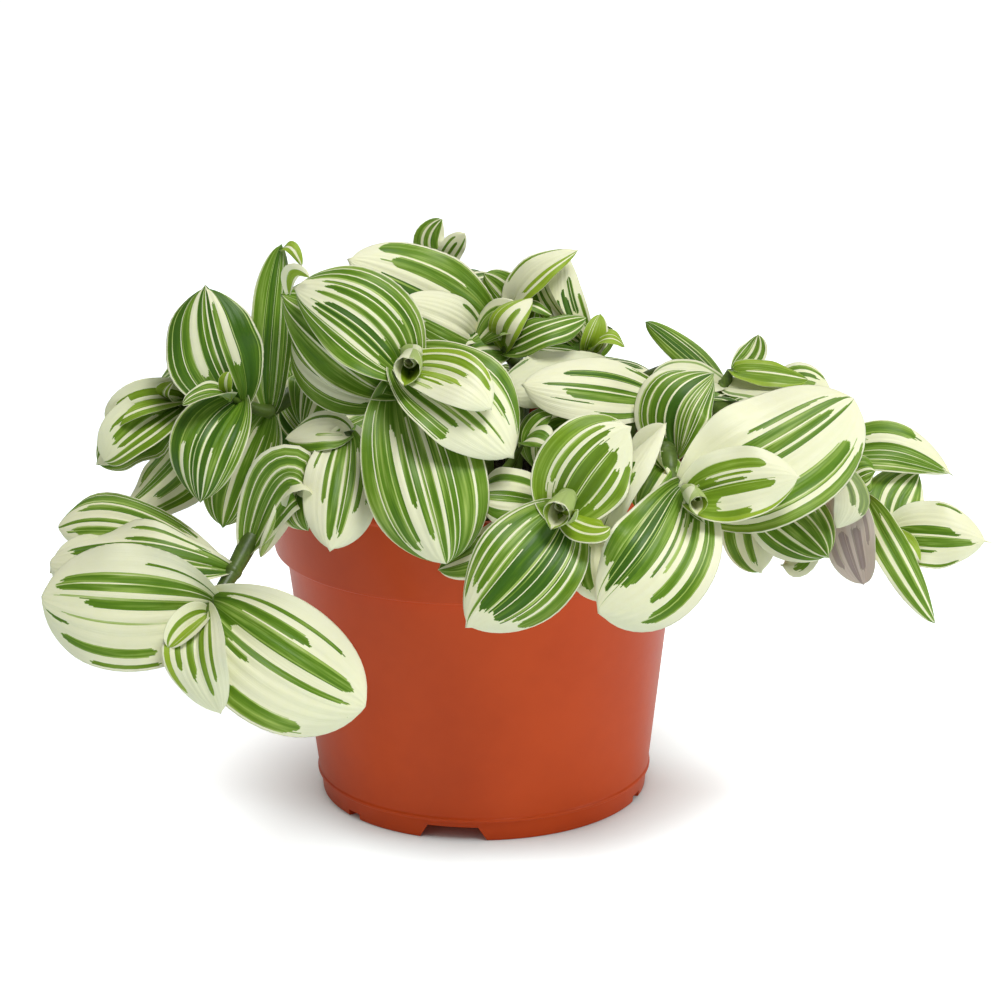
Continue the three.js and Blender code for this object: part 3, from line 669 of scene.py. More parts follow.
# %% The shoots in the middle and at the top
FRONT_SHOOTS.update({
    "centre": {
        "nodes": [(-10, -10), (-12, -22, 120), (-16, -36, 142),
                  (-23, -54, 142), (-22, -59, 149), (-21, -63, 152)],
        "leaves": [
            (4, (-33, -62, 165), (-52, -54, 172), (-0.2, -1, 0.5), 28, -0.15,
             "c.3 g2.4 c.2 g1.8 c.9:1-11 g1:0-9 c.2 d1.4:0-9 c.2 d1.4:0-8 c.8 g1.2:0-9 c.7 "
             "g1.6:0-8 c.25 g1:0-9 c.5 g4.2:0-10 c.3"),
            (3, (-37, -54, 159), (-56, -46, 168), (-0.2, -1, 0.5), 31, -0.15,
             "c.3 g2.4 c.25 g2.2 c.25 g2.6 c.3 g2 c.3 g2 c.3"),
            (3, (-40, -50, 146), (-54, -40, 153), (-0.1, -1, 0.5), 23, -0.2,
             "g2 c1.6 g3 c.4 g2 c.4 g2"),
            (4, (-4, -74, 144), (9, -76, 128), (0.2, -1, 0.5), 30, -0.15,
             "c.3 g3.4:0-9 c1.4 g1.6:0-8 c1.6 g1.2:0-7 c.8 g.6:0-9 "
             "c1 g1.2:0-8 c.6 p.6:0-7 c.6 g1.2:0-6 c.8 g3:0-6 c.5"),
            (4, (-7, -76, 151), (3, -80, 143), (0.2, -1, 0.6), 17, -0.1,
             "c.3 y1:0-8 c.5 g1.6:0-9 c.8 g1:0-6 c1.2 y1.6:0-6 c.5 g.6:0-5 c1 p.8:0-4 c1.4"),
            ((-20, -61, 149), (-20, -67, 149), (-21, -74, 148.5), (0.1, -0.4, 1), 19, 0.9,
             "c.3 y3 g.6 c2.8"),
            (3, (-16, -78, 123), (-10, -84, 99), (0, -1, 0.4), 33, -0.25,
             "c.3 g2 c.35 g3.2 c.2 g2.6 c.6 g2 c.6 g1:0-9 c.3 g1.2:0-7 c1.1 g3.6:0-9 c.3 g2.2 c.2"),
            ((-54, -52, 170), (-53, -55, 177), (-48, -57, 176), (0.3, -1, 0.4), 5, -0.1,
             "c1 y1.2 c.4"),
            ((12, -10, 147), (6, -9, 151), (-1, -6, 143), (-0.1, -1, 0.5), 13, -0.1,
             "g1.6 c.6 g1.6 c.8"),
        ],
    },
    "top": {
        "nodes": [(2, 2), (0, 2, 130), (-1, -2, 143), (2, 0, 147)],
        "leaves": [
            (3, (-17, -8, 160), (-38, -10, 170), (-0.1, -1, 0.6), 28, -0.2,
             "c1 d6:0-8 c1.6:0-11 g2:0-8 c.3 g2.4:0-9 c.3"),
            (2, (-9, -14, 152), (-23, -20, 159), (-0.1, -1, 0.5), 17, -0.2,
             "g3:0-8 c4 g.6:0-4 c.6"),
        ],
    },
    "top_back": {
        "nodes": [(-8, 22), (-8, 24, 130), (-11, 20, 161)],
        "leaves": [
            (2, (-15, 22, 168), (-11, 22, 175), (-0.5, -1, 0.2), 11, -0.1,
             "g1.6 c.5 g1 c.5 g1.4 c1.4"),
            (2, (-8, 17, 167), (-4, 16, 172), (0.4, -1, 0.3), 8, -0.1,
             "c1 g.6:2-8 c.8 g.8:1-7 c.8 g.7:2-9 c1"),
        ],
    },
    "upper_mid": {
        "nodes": [(10, 14), (12, 14, 130), (8, -7, 141), (11, 4, 151)],
        "leaves": [
            ((10, 4, 152), (17, 1, 163), (30, 4, 169), (-0.3, -1, 0.4), 12, -0.1,
             "c.3 g.5:2-9 c4 y.8:2-11 c.4 y1.4"),
            ((8, -7, 142), (8, -13, 151), (16, -8, 157), (-0.3, -1, 0.5), 11, -0.2,
             "y1.6 c1 g1:0-8 c1 y.8"),
            (2, (19, -16, 149), (32, -8, 151), (-0.1, -0.8, 1), 12, -0.3,
             "g1.4 c.3 g1 c.3 g1.2 c.3 g1.4 c.4 g1"),
            (3, (16, 2, 153), (22, 0, 150), (0, -0.3, 1), 6, -0.2,
             "c.6 g1.4 c.4 g1"),
            ((14, 8, 146), (9, 5, 155), (2, 4, 162), (-0.2, -1, 0.4), 13, -0.1,
             "c.3 g2 c.4 g1.6 c.4 g1.6 c.3"),
            ((13, 20, 136), (19, 18, 146), (26, 22, 152), (0, -1, 0.4), 16, -0.1,
             "c.3 g2 c.5 g2 c.5 g2 c.3"),
        ],
    },
    "upper_right": {
        "nodes": [(22, 12), (24, 14, 130), (38, -4, 133), (35, 6, 137)],
        "leaves": [
            ((33, 8, 139), (27, 5, 153), (26, 10, 167), (0.3, -1, -0.1), 11, -0.1,
             "c1.6 d1.2:2-5 c.6 d1.8:1-6 c.5 d1.6:3-8 c.6 g1:0-6 c.8"),
            (3, (21, 4, 153), (20, 8, 161), (-0.6, -1, 0.1), 8, 0.2,
             "g1.2 c.6 g.6 c1 g.4 c1"),
            ((33, 4, 138), (35, 1, 143), (37, 4, 149), (0.2, -1, 0.1), 8, 0.3,
             "y4 c.4"),
            ((34, 2, 138), (39, -1, 143), (44, 0, 140), (0, -0.5, 1), 7, 0.2,
             "y3 c.3 y2"),
            (2, (21, -22, 136), (7, -28, 134), (-0.1, -1, 1), 20, -0.15,
             "c8 g.4:6-9 c.4"),
            ((24, 14, 130), (36, 17, 137), (38, 16, 143), (0.1, -1, 0.3), 10, -0.1,
             "c.3 g2 c.5 g2 c.5 g1"),
        ],
    },
})
print("shoots so far:", len(FRONT_SHOOTS))

# %% The shoots in front and on the right
FRONT_SHOOTS.update({
    "front": {
        "nodes": [(20, -20), (20, -38, 112), (20, -54, 120),
                  (18, -66, 111), (23, -76, 110), (23, -80, 112)],
        "leaves": [
            (4, (30, -78, 125), (42, -74, 135), (0.05, -1, 0.3), 28, -0.1,
             "c.3 g2.6:0-10 c.5 g1:2-9 c.6 d1.2:0-9 c.35 d2.4:0-8 c.25 d2.2:0-8 c.3 g1.2:0-7 "
             "c.7 g1.6:0-8 c.5"),
            (4, (12, -90, 99), (-4, -92, 83), (-0.1, -1, 0.4), 31, -0.25,
             "c.3 g2:0-8 c.5:1-11 g1:0-8 c.25 d5:0-9 c.15 d3.4:0-9 c.3:4-11 g1 c.2 g1.8:0-8 "
             "c.5:2-11 g1.4:0-8 c.4:3-11 g1.4:0-9 c.3 g.5 c.2"),
            (4, (30, -86, 109), (36, -88, 110), (0.25, -1, 1), 10, -0.2,
             "y2 c.4 y1.4 c.4 g1.4 c.3"),
            ((23, -76, 110.5), (22, -81, 111), (20, -87, 110), (0.2, -0.4, 1), 19, 1,
             "c.4 y1.6 c1.4 y1.6 c.4"),
            (5, (26, -86, 112), (27, -90, 116), (-0.2, -1, 0.5), 4, 1,
             "y1 c1 y1"),
            (3, (8, -72, 115), (-1, -72, 115), (-0.1, -1, 0.9), 19, -0.2,
             "c1 g1.6 c1.4 g2 c1.6 g1.4 c1.4"),
        ],
    },
    "right_front": {
        "nodes": [(34, -18), (42, -32, 114), (54, -52, 122),
                  (55, -60, 117), (58, -70, 115), (59, -75, 115)],
        "leaves": [
            (4, (82, -70, 124), (107, -60, 139), (0.1, -1, 0.6), 36, -0.15,
             "c4.5 g.8:5-9 c.6 g1.6:2-10 c.3 g1.4:1-9 c.4 "
             "g.8:2-10 c.9 p.4:2-5 c2 g3:2-9 c.8 g1.4:0-9 c.2"),
            (5, (74, -82, 121), (89, -84, 123), (0.1, -1, 0.5), 23, -0.1,
             "c2.2 g1.8:0-7 c.4 g.6:1-6 c.4 d.5:0-5 c.3 g2:0-8 c2.6 g1.2:0-6 y.6 c.3"),
            (4, (50, -90, 101), (33, -94, 87), (-0.1, -1, 0.35), 30, -0.2,
             "c1.4 g1.8:0-8 c.8 g1.3:0-7 c.8 p.5:0-6 c.5 g.5:1-6 c.7 g1.6:0-8 p.3 d2.6:0-9 "
             "p.25 g2.4:0-8 c.5"),
            ((58.5, -78, 114), (59.5, -82, 114.5), (60.5, -87, 113.5), (0.2, -0.4, 1), 13, 0.8,
             "y1.4 c1.6 y1"),
            ((35, -69, 104), (41, -76, 120), (53, -66, 134), (-0.6, -1, 0.3), 13, -0.2,
             "c.3 d1.6:1-6 c.4 d1.4:2-7 c.4 g1:3-6 c2.2"),
            (3, (48, -60, 124), (53, -60, 132), (-0.5, -1, 0.1), 10, 0.2,
             "c3 g.5 c1"),
            ((54, -56, 119), (50, -64, 118), (45, -70, 110), (-0.2, -1, 0.3), 15, -0.15,
             "g2 c.6 g2 c.6 g1.4"),
        ],
    },
    "right_upper": {
        "nodes": [(36, 14), (46, 14, 122), (61, 8, 131), (74, 0, 127), (77, 0, 132), (91, 6, 124)],
        "leaves": [
            (3, (63, 4, 137), (51, 6, 146), (-0.2, -0.9, 1), 9, -0.2,
             "c.2 g3 p.12 d3.4 p.12 d3 p.12 g2.4 c.3"),
            (3, (63, -8, 133), (52, -14, 133), (-0.1, -1, 1), 12, -0.2,
             "c6 g.5 c.5"),
            (4, (87, -6, 133), (99, -8, 131), (0, -0.6, 1), 11, -0.2,
             "y1 g2 c.6 g2 y.8"),
            (4, (83, 2, 136), (85, 4, 142), (-0.4, -1, 0.2), 9, 0.2,
             "c.4 g1.6 c.5 g1.2 c.5 g1 c.6"),
            ((89, 6, 123), (98, 4, 129), (107, 3, 125), (-0.1, -1, 0.75), 10, -0.2,
             "c.6 g.8:1-9 c.5 g.8:1-8 c.5 g1:1-8 c1"),
            (3, (84, -8, 128), (97, -10, 128), (0, -0.4, 1), 11, -0.2,
             "c6 g1 c.6"),
        ],
    },
    "mid_right": {
        "nodes": [(28, -4), (34, -10, 120), (52, -30, 131), (73, -34, 121)],
        "leaves": [
            (2, (33, -38, 137), (13, -40, 139), (-0.1, -1, 0.9), 22, -0.2,
             "c1.6 g1.8:1-5 c1.6 g.4:5-8 c.6 g3:0-7 c.4 g1.2:0-9 c2.2 d1.8:0-7 c2.6 g1.2:0-2 c.4"),
            ((57, -44, 119), (57, -45, 134), (68, -38, 141), (-0.2, -1, 0.5), 24, -0.25,
             "c1 g1.6:0-9 c.4 g1.4 c.3 g1.4 c.3 d2 c.3 g2.2 c.3 g2.6 c.3 g1"),
            ((68, -20, 116), (57, -18, 121), (47, -16, 123), (0, -1, 0.5), 17, -0.1,
             "c.3 g2 c.5 g2.4 c.5 g2 c.3"),
        ],
    },
    "far_right": {
        "nodes": [(44, 4), (58, 2, 118), (86, -10, 122),
                  (108, -22, 111), (115, -30, 100), (122, -36, 91)],
        "leaves": [
            (3, (123, -26, 115), (140, -28, 107), (0.1, -1, 0.7), 18, -0.25,
             "c.2 g2.6:0-7 c1.8 g4.6:0-10 c.15 g.8:0-9 c.3"),
            (5, (135, -44, 93), (148, -48, 92), (0.2, -1, 0.5), 23, -0.2,
             "c.4 g.6:4-7 c4 g1.6:0-7 c.4 g2:0-9 c.5 g.6:0-5 c2 g.5:0-8 c.3"),
            (4, (121, -48, 89), (133, -54, 69), (-0.6, -1, 0.1), 11, -0.2,
             "g1.4 c.5 g1.4 c.5 g1.2 c.6"),
            (5, (124, -30, 100), (131, -24, 106), (0.1, -1, 0.5), 19, -0.2,
             "g2.4 c.6 g1 c.5 g1.4 c.4 g1.4 c1"),
            (5, (126, -44, 91), (129, -48, 86), (0.3, -1, 0.5), 4, 0.3,
             "y1.4 c1"),
        ],
    },
    "right_low": {
        "nodes": [(46, -10), (56, -20, 116), (73, -30, 113), (80, -40, 104), (105, -44, 111)],
        "leaves": [
            ((105, -44, 110), (108, -46, 94), (113, -44, 78), (0.4, 1, 0.4), 17, -0.1,
             "c.8 d1.6:3-8 c.6 d2:5-10 c.7 d1.8:4-9 c.8 d.8:2-6 c1"),
            ((104, -46, 114), (108, -52, 106), (104, -52, 98), (0.5, -1, 0.2), 12, -0.1,
             "g2:0-7 c.6 g1.4:0-6 c3"),
            (3, (91, -48, 99), (101, -54, 90), (0, -1, 0.6), 23, -0.25,
             "g1.2 c.3 g1.8 c.3 g1.6 c.3 g1.8 c.4 g1.2 c.3 g1 c.8"),
            (3, (79, -46, 94), (82, -50, 84), (-0.2, -1, 0.4), 17, -0.2,
             "c3.4 g1:0-9 c1 g1.4 c.4"),
            ((93, -43, 107), (94, -48, 90), (88, -50, 86), (-0.2, -1, 0.3), 12, -0.1,
             "c1 g1.4:0-8 c1.4 g1:0-7 c1"),
            ((108, -30, 103), (113, -32, 108), (117, -32, 109), (0, -1, 0.4), 12, -0.1,
             "g2 c.4 g1.6 c.4 g1"),
        ],
    },
})
print("shoots so far:", len(FRONT_SHOOTS))

# %% Low and inner shoots, which close the gaps
FRONT_SHOOTS.update({
    "front_left": {
        "nodes": [(-22, -22), (-26, -36, 114), (-38, -52, 128), (-51, -54, 114)],
        "leaves": [
            (2, (-40, -68, 116), (-43, -76, 101), (-0.2, -1, 0.4), 23, -0.25,
             "c1.2 g1:2-6 c.8 g.8:0-7 c.5 g1.8:0-9 c.4 g1.8:0-9 c.5 g.8:0-6 c1.6 g.5:0-3 c1.2"),
            (2, (-46, -54, 130), (-56, -52, 127), (-0.1, -1, 1), 14, -0.2,
             "g1.6 c1 p.6:1-6 c3 g.6 c1"),
            (3, (-52, -62, 109), (-50, -64, 103), (-0.4, -1, 0.4), 14, -0.2,
             "c.6 g2 c.5 g2 c.5 g1.6 c.6"),
        ],
    },
    "front_low": {
        "nodes": [(10, -28), (12, -46, 109), (21, -60, 109), (34, -68, 104)],
        "leaves": [
            (3, (34, -78, 95), (35, -82, 86), (0.1, -1, 0.4), 19, -0.2,
             "c2 g1.4 c2 g1.6:2-8 c1.2"),
            (2, (5, -72, 100), (-12, -78, 95), (-0.1, -1, 0.4), 14, -0.2,
             "c.4 g2 c.6 g1.4 c.5"),
        ],
    },
    "inner": {
        "nodes": [(0, -30), (6, -38, 110), (13, -42, 122)],
        "leaves": [
            (2, (17, -48, 126), (21, -50, 123), (0.1, -1, 1), 9, -0.2,
             "c1.6 g2 c1 g1"),
            (2, (17, -42, 128), (21, -42, 130), (-0.3, -1, 0.3), 5, 0.2,
             "g1 c.4 g1"),
            ((19, -32, 107), (20, -16, 117), (30, -12, 120), (0, -1, 0.5), 17, -0.1,
             "g2 c.5 g2.4 c.3 g2"),
            ((38, -12, 122), (34, -18, 116), (27, -24, 111), (0, -1, 0.4), 14, -0.1,
             "c.4 g2 c.5 g2 c.5 g2 c.3"),
            ((-45, -22, 117), (-38, -18, 121), (-28, -14, 124), (0, -1, 0.5), 17, -0.1,
             "g2 c.5 g2.4 c.3 g2"),
            ((-41, -22, 112), (-56, -12, 118), (-59, -12, 127), (0, -1, 0.3), 14, -0.1,
             "c.2 d2 c.2 d2 c.2 g2 c.2"),
            ((9, -6, 140), (3, -8, 142), (-3, -9, 141), (0, -1, 0.4), 12, -0.1,
             "c.3 g2 c.5 g2 c.3"),
            ((37, 2, 135), (28, 4, 137), (18, 6, 138), (0, -1, 0.4), 11, -0.1,
             "c.3 g2 c.5 g2 c.3"),
        ],
    },
})
print("shoots in view:", len(FRONT_SHOOTS))

# %% [markdown]
# ## The shoots behind
# Nothing in the front view fixes these, so they follow the plant's habit: the
# stem leans out over the rim, and a leaf grows from each node, to one side and
# the other by turns. Their scores are drawn at random from a fixed seed, some
# leaves mostly green and some mostly cream, as on the front.

# %% Back shoots from a habit
BACK_SHOOTS = {  # azimuth, size, hand, distance out and height of each node
    "back_right": (22, 0.88, 1, [(45,), (54, 117), (64, 111), (75, 112), (80, 110)]),
    "back_mid_right": (66, 1.02, 1, [(48,), (59, 110), (66, 111), (77, 106), (83, 95)]),
    "back": (96, 1.02, -1, [(44,), (51, 125), (65, 128), (71, 125), (78, 105)]),
    "back_mid_left": (133, 1.01, -1, [(48,), (56, 120), (70, 111), (78, 96), (83, 110)]),
    "back_left": (154, 1.01, -1, [(45,), (54, 130), (66, 133), (71, 127), (80, 119)]),
    "crown_right": (62, 0.57, -1, [(22,), (30, 120), (39, 120), (43, 117), (54, 129)]),
    "crown_left": (109, 0.94, -1, [(29,), (31, 142), (41, 143), (45, 144), (54, 142)]),
}
BACK_LEAVES = [(1, 74, 28), (2, -70, 42), (3, 62, 44), (4, -52, 42), (4, 10, 38)]
BACK_WIDTH_SHARE, BACK_RISE, BACK_FALL, BACK_CUP = 0.68, 0.16, 0.22, -0.18


def heading(azimuth, height=0.0):
    """A level unit vector at an azimuth from +X, with a height of its own."""
    return np.array((math.cos(math.radians(azimuth)), math.sin(math.radians(azimuth)), height))


def random_score(rng):
    """Bands of a leaf that leans to green or to cream."""
    leafy = rng.choice((0.6, 1.0, 1.5))
    bands = ["c0.3"]
    for _ in range(rng.randint(6, 9)):
        end = rng.choice((6, 7, 8, 9, 10, 10))
        kind, width = rng.choice("gggd"), rng.uniform(0.8, 2.6) * leafy
        bands.append("%s%.2f:%d-%d" % (kind, width, rng.choice((0, 0, 0, 1)), end))
        bands.append("c%.2f" % (rng.uniform(0.25, 1.4) / leafy))
    return " ".join(bands)


def back_shoot(name, azimuth, size, hand, path):
    rng = random.Random(name)
    nodes = [tuple(heading(azimuth)[:2] * path[0][0])]
    nodes += [tuple(heading(azimuth) * out + (0, 0, up)) for out, up in path[1:]]
    leaves = []
    for at, turn, length in BACK_LEAVES:
        length = length * size
        away = heading(azimuth + hand * turn)
        root = np.array(nodes[at])
        mid = root + away * length / 2 + (0, 0, length * BACK_RISE)
        tip = root + away * length - (0, 0, length * BACK_FALL)
        width = length * BACK_WIDTH_SHARE
        leaves.append((at, mid, tip, away + (0, 0, 1), width, BACK_CUP, random_score(rng)))
    return {"nodes": nodes, "leaves": leaves}


SHOOTS = dict(FRONT_SHOOTS)
SHOOTS.update({name: back_shoot(name, *habit) for name, habit in BACK_SHOOTS.items()})
print("shoots:", len(SHOOTS), "leaves:", sum(len(shoot["leaves"]) for shoot in SHOOTS.values()))

# %% [markdown]
# ## From a score to columns
# Each column of a leaf looks up its band. On a mostly green leaf the cream
# bands start a little way up, because the leaf is green at its foot. Bands end
# in small steps, shorter at their edges, and now and then a column is paler.

# %% A score as columns: pigment, start, end and what lies outside them
PIGMENT = {"c": 0.0, "p": 0.3, "g": 0.65, "d": 1.0, "y": 0.5}
YOUNG = "y"
NO_START, NO_END = -0.1, 1.1
LEAFY_BELOW, GREEN_FOOT = 0.5, (0.02, 0.24)
STEP_CHANCE, STEP, JITTER, EDGE_SHORTER = 0.22, (-0.05, 0.04), 0.004, 0.05
PALE_EDGE_FROM, PALE_EDGE_CHANCE, PALE_EDGE = 0.5, 0.35, 0.4
STREAK_WIDTH, STREAK_CHANCE = 1.5, 0.05


def read_score(score, columns, rng):
    """One (pigment, start, end, outside, youth) row for each column of the leaf."""
    bands = []
    for token in score.split():
        body, _, reach = token.partition(":")
        start, _, end = reach.partition("-")
        bands.append((body[0], float(body[1:]), float(start or 0) / 10, float(end or 11) / 10))
    total = sum(band[1] for band in bands)
    cream = sum(band[1] for band in bands if band[0] == "c") / total
    for k, (kind, width, start, end) in enumerate(bands):
        if kind == "c" and start == 0 and 0 < k < len(bands) - 1 and cream < LEAFY_BELOW:
            bands[k] = (kind, width, rng.uniform(*GREEN_FOOT), end)
    rows, step = [], 0.0
    for column in range(columns):
        spot = (column + 0.5) / columns * total
        for kind, width, start, end in bands:
            if spot <= width:
                break
            spot -= width
        edge = abs(2 * spot / width - 1) ** 2
        if rng.random() < STEP_CHANCE:
            step = rng.uniform(*STEP)
        ragged = step + rng.uniform(-JITTER, JITTER) - EDGE_SHORTER * edge
        pigment = PIGMENT[kind]
        outside = 0.0 if pigment else PIGMENT["g"]
        if pigment and edge > PALE_EDGE_FROM and rng.random() < PALE_EDGE_CHANCE:
            pigment = PALE_EDGE
        if pigment and width > STREAK_WIDTH and rng.random() < STREAK_CHANCE:
            pigment = PIGMENT["p"] * rng.random()
        start = start - ragged if start > 0 else NO_START
        end = end + ragged if end <= 1 else NO_END
        rows.append((pigment, start, end, outside, 1.0 if kind == YOUNG else 0.0))
    return np.array(rows)


print("columns read:", read_score("c1 g2:0-8 c1", 8, random.Random(1))[:, 0])

# %% [markdown]
# ## One leaf
# A tradescantia leaf is a thin blade on a curved midrib, cupped at its root
# where it clasps the stem and flatter towards its point, with a groove along
# the midrib, soft pleats along its veins and a slightly waved margin. It is
# built as a closed lens: two grids that share their margin. Each column of the
# grid follows a vein, so the stripes stay crisp at any size.

# %% The blade's surface
ROOT_START, ROUND_ROOT, ROUND_TIP, OUTLINE_PEAK = 0.03, 0.5, 0.56, 0.496
ROOT_CUP, CUP_FALL = 0.35, 0.6
CLASP, CLASP_REACH, CLASP_NARROW = 0.75, 0.07, 0.45
TIP_LENGTH = 0.04
BLADE_THICK = 0.55
GROOVE_DEPTH, GROOVE_WIDTH = 0.7, 0.07
PLEATS, PLEAT_SHARE = 5.5, 0.007


def unit(v):
    return v / np.linalg.norm(v, axis=-1, keepdims=True)


def spine(root, mid, tip, face, s):
    """The midrib's points with the directions across the blade and out of it."""
    root, mid, tip, face = (np.asarray(v, float) for v in (root, mid, tip, face))
    bend = 2 * mid - (root + tip) / 2
    s = s[:, None]
    rib = (1 - s) ** 2 * root + 2 * s * (1 - s) * bend + s ** 2 * tip
    along = unit((1 - s) * (bend - root) + s * (tip - bend))
    outward = unit(np.cross(unit(np.cross(tip - root, face)), along))
    return rib, along, outward, np.cross(along, outward)


def outline(s, round_tip=ROUND_TIP, round_root=ROUND_ROOT):
    """The blade's half width as a share of its widest."""
    return (s + ROOT_START) ** round_root * (1 - s) ** round_tip / OUTLINE_PEAK


def blade(shape, s, t, rng, looks):
    """A waved and folded blade: points for shares s of its length and t across it."""
    root, mid, tip, face, width, cup = shape
    rib, along, outward, across = spine(root, mid, tip, face, s)
    twist = math.radians(looks.get("twist", rng.uniform(-8, 8))) * s[:, None]
    across, outward = (across * np.cos(twist) + outward * np.sin(twist),
                       outward * np.cos(twist) - across * np.sin(twist))
    rib[-1] += along[-1] * width * looks.get("point", TIP_LENGTH)
    s = s[:, None]
    half = width / 2 * outline(s, looks.get("tip", ROUND_TIP), looks.get("root", ROUND_ROOT))
    clasp = CLASP * np.exp(-s / CLASP_REACH)
    wave, waves = looks.get("wave", rng.uniform(0.04, 0.11)), looks.get("waves", rng.uniform(1.2, 2.4))
    left, right = looks.get("phase", (rng.uniform(0, 6.3), rng.uniform(0, 6.3)))
    phase, wave = np.where(t < 0, left, right), np.where(t < 0, *np.broadcast_to(wave, 2))
    swell = np.sin(math.tau * waves * s + phase) * np.abs(t) ** 2 * np.sin(math.pi * s) ** 0.7
    fold = looks.get("fold", rng.uniform(0.02, 0.10))
    lift = half * ((cup + ROOT_CUP - CUP_FALL * s + clasp) * t ** 2 + wave * swell + fold * np.abs(t))
    lift += half * PLEAT_SHARE * np.cos(math.tau * PLEATS * t) * (1 - t ** 2)
    lift -= GROOVE_DEPTH * np.exp(-((t / GROOVE_WIDTH) ** 2)) * (1 - s) * min(1, width / 20)
    side = half * t * (1 - CLASP_NARROW * clasp * np.abs(t))
    curl_from, curl_rise = looks.get("curl", (1, 0))
    over = np.clip((s - curl_from) / max(1 - curl_from, 0.001), 0, 1)
    points = rib[:, None] + across[:, None] * side[..., None] + outward[:, None] * lift[..., None]
    return points + (outward * curl_rise * over ** 2 - along * curl_rise * 0.6 * over ** 3)[:, None]


SHARES = np.linspace(0, 1, 101)
print("a blade is widest at", SHARES[np.argmax(outline(SHARES))], "of its length")

# %% A young leaf, still rolled
# Its margins roll inwards: the blade's own angle to level starts at ROLL_STANDS,
# falls by ROLL_OPENS towards the tip and turns on by ROLL_TURN out to the margin.
ROLL_STANDS, ROLL_OPENS, ROLL_TURN, ROLL_TIGHTENS = 0.85, 0.35, 6.6, 1.7
ROLL_ROOT, ROLL_TIP = 0.2, 0.42


def scroll(shape, s, t, rng, looks):
    """A leaf whose two margins roll inwards; its width is half its unrolled one."""
    root, mid, tip, face, width, _ = shape
    rib, along, outward, across = spine(root, mid, tip, face, s)
    rib[-1] += along[-1] * width * TIP_LENGTH * 2
    s = s[:, None]
    spread = outline(s + ROLL_ROOT * (1 - s), ROLL_TIP)
    half = width * spread
    turn = ROLL_STANDS - ROLL_OPENS * s + ROLL_TURN * (np.abs(t) * spread) ** ROLL_TIGHTENS
    step = abs(t[1] - t[0])
    centre = len(t) // 2
    x = np.cumsum(np.cos(turn) * step, axis=1)
    z = np.cumsum(np.sin(turn) * np.sign(t) * step, axis=1)
    x, z = x - x[:, [centre]], np.abs(z - z[:, [centre]])
    return rib[:, None] + across[:, None] * (half * x)[..., None] + outward[:, None] * (half * z)[..., None]


print("a rolled leaf's margin turns by", round(math.degrees(ROLL_TURN)), "degrees")

# %% From a blade to closed faces with their stripes
def leaf_faces(rows, columns):
    """Faces of two grids that share margins and tip; each corner's row, column line, column and side."""
    inner = columns - 1
    tip_index = rows * (columns + 1) + rows * inner

    def upper(i, j):
        return tip_index if i == rows else i * (columns + 1) + j

    def lower(i, j):
        if i == rows or j in (0, columns):
            return upper(i, j)
        return rows * (columns + 1) + i * inner + j - 1

    faces, corners = [], []
    for i in range(rows):
        for j in range(columns):
            for side, at in ((0, upper), (1, lower)):
                ring = [(i, j), (i, j + 1), (i + 1, j + 1), (i + 1, j)]
                if i + 1 == rows:
                    ring.pop()
                if side:
                    ring.reverse()
                faces.append(np.array([at(*spot) for spot in ring]))
                corners += [(*spot, j, side) for spot in ring]
    for j in range(columns):
        ring = list(dict.fromkeys([lower(0, j), lower(0, j + 1), upper(0, j + 1), upper(0, j)]))
        faces.append(np.array(ring))
        corners += [(0, j, j, 1)] * len(ring)
    return faces, np.array(corners).T


FACE_LISTS = {}


def one_leaf(points_of, shape, score, rng, looks, size):
    """Points, faces and per-corner rows of one leaf."""
    rows, columns = size
    if size not in FACE_LISTS:
        FACE_LISTS[size] = leaf_faces(rows, columns)
    faces, (i, j, column, side) = FACE_LISTS[size]
    s = (1 - np.cos(np.linspace(0, math.pi, rows + 1))) / 2
    t = np.linspace(-1, 1, columns + 1)
    surface = points_of(shape, s, t, rng, looks)
    upright = unit(np.cross(np.gradient(surface, axis=1)[:rows], np.gradient(surface, axis=0)[:rows]))
    thick = (BLADE_THICK / 2 * (1 - t ** 2))[None, :, None] * upright
    top, low = surface[:rows] + thick, surface[:rows] - thick
    end = surface[rows, columns // 2][None]
    points = np.concatenate([top.reshape(-1, 3), low[:, 1:-1].reshape(-1, 3), end])
    stripes = read_score(score, columns, rng)[column]
    wander = 0.012 * np.sin(s * rng.uniform(6, 11) + rng.uniform(0, 6))
    share = j / columns
    uv = np.column_stack((share + wander[i] * (1 - abs(2 * share - 1)), s[i]))
    ones = np.ones(len(i))
    kinds = np.column_stack((ones * rng.random(), np.maximum(stripes[:, 4], looks.get("young", 0)),
                             ones * looks.get("flush", 0), np.maximum(side, looks.get("pale", 0))))
    return points, faces, uv, stripes[:, :4], kinds


print("faces of a small blade:", len(leaf_faces(4, 6)[0]))

# %% [markdown]
# ## The leaf's finish
# Two pigments lie in a leaf: bands with chlorophyll and bands without. The
# shader reads each column's band from the face corners, ends it at its own
# place along the leaf, then adds what a close look shows: fine vein lines,
# a faint pattern of cells, a thin cream margin, yellow-green young growth and a
# paler, sometimes purple underside. A little light passes through the blade.

# %% Leaf material
CREAM, PALE_GREEN = (0.87, 0.87, 0.59, 1), (0.38, 0.52, 0.11, 1)
MID_GREEN, DARK_GREEN = (0.115, 0.240, 0.010, 1), (0.046, 0.130, 0.006, 1)
YOUNG_GREEN, UNDER_TONE, PURPLE = (0.30, 0.44, 0.020, 1), (0.50, 0.55, 0.34, 1), (0.44, 0.22, 0.34, 1)


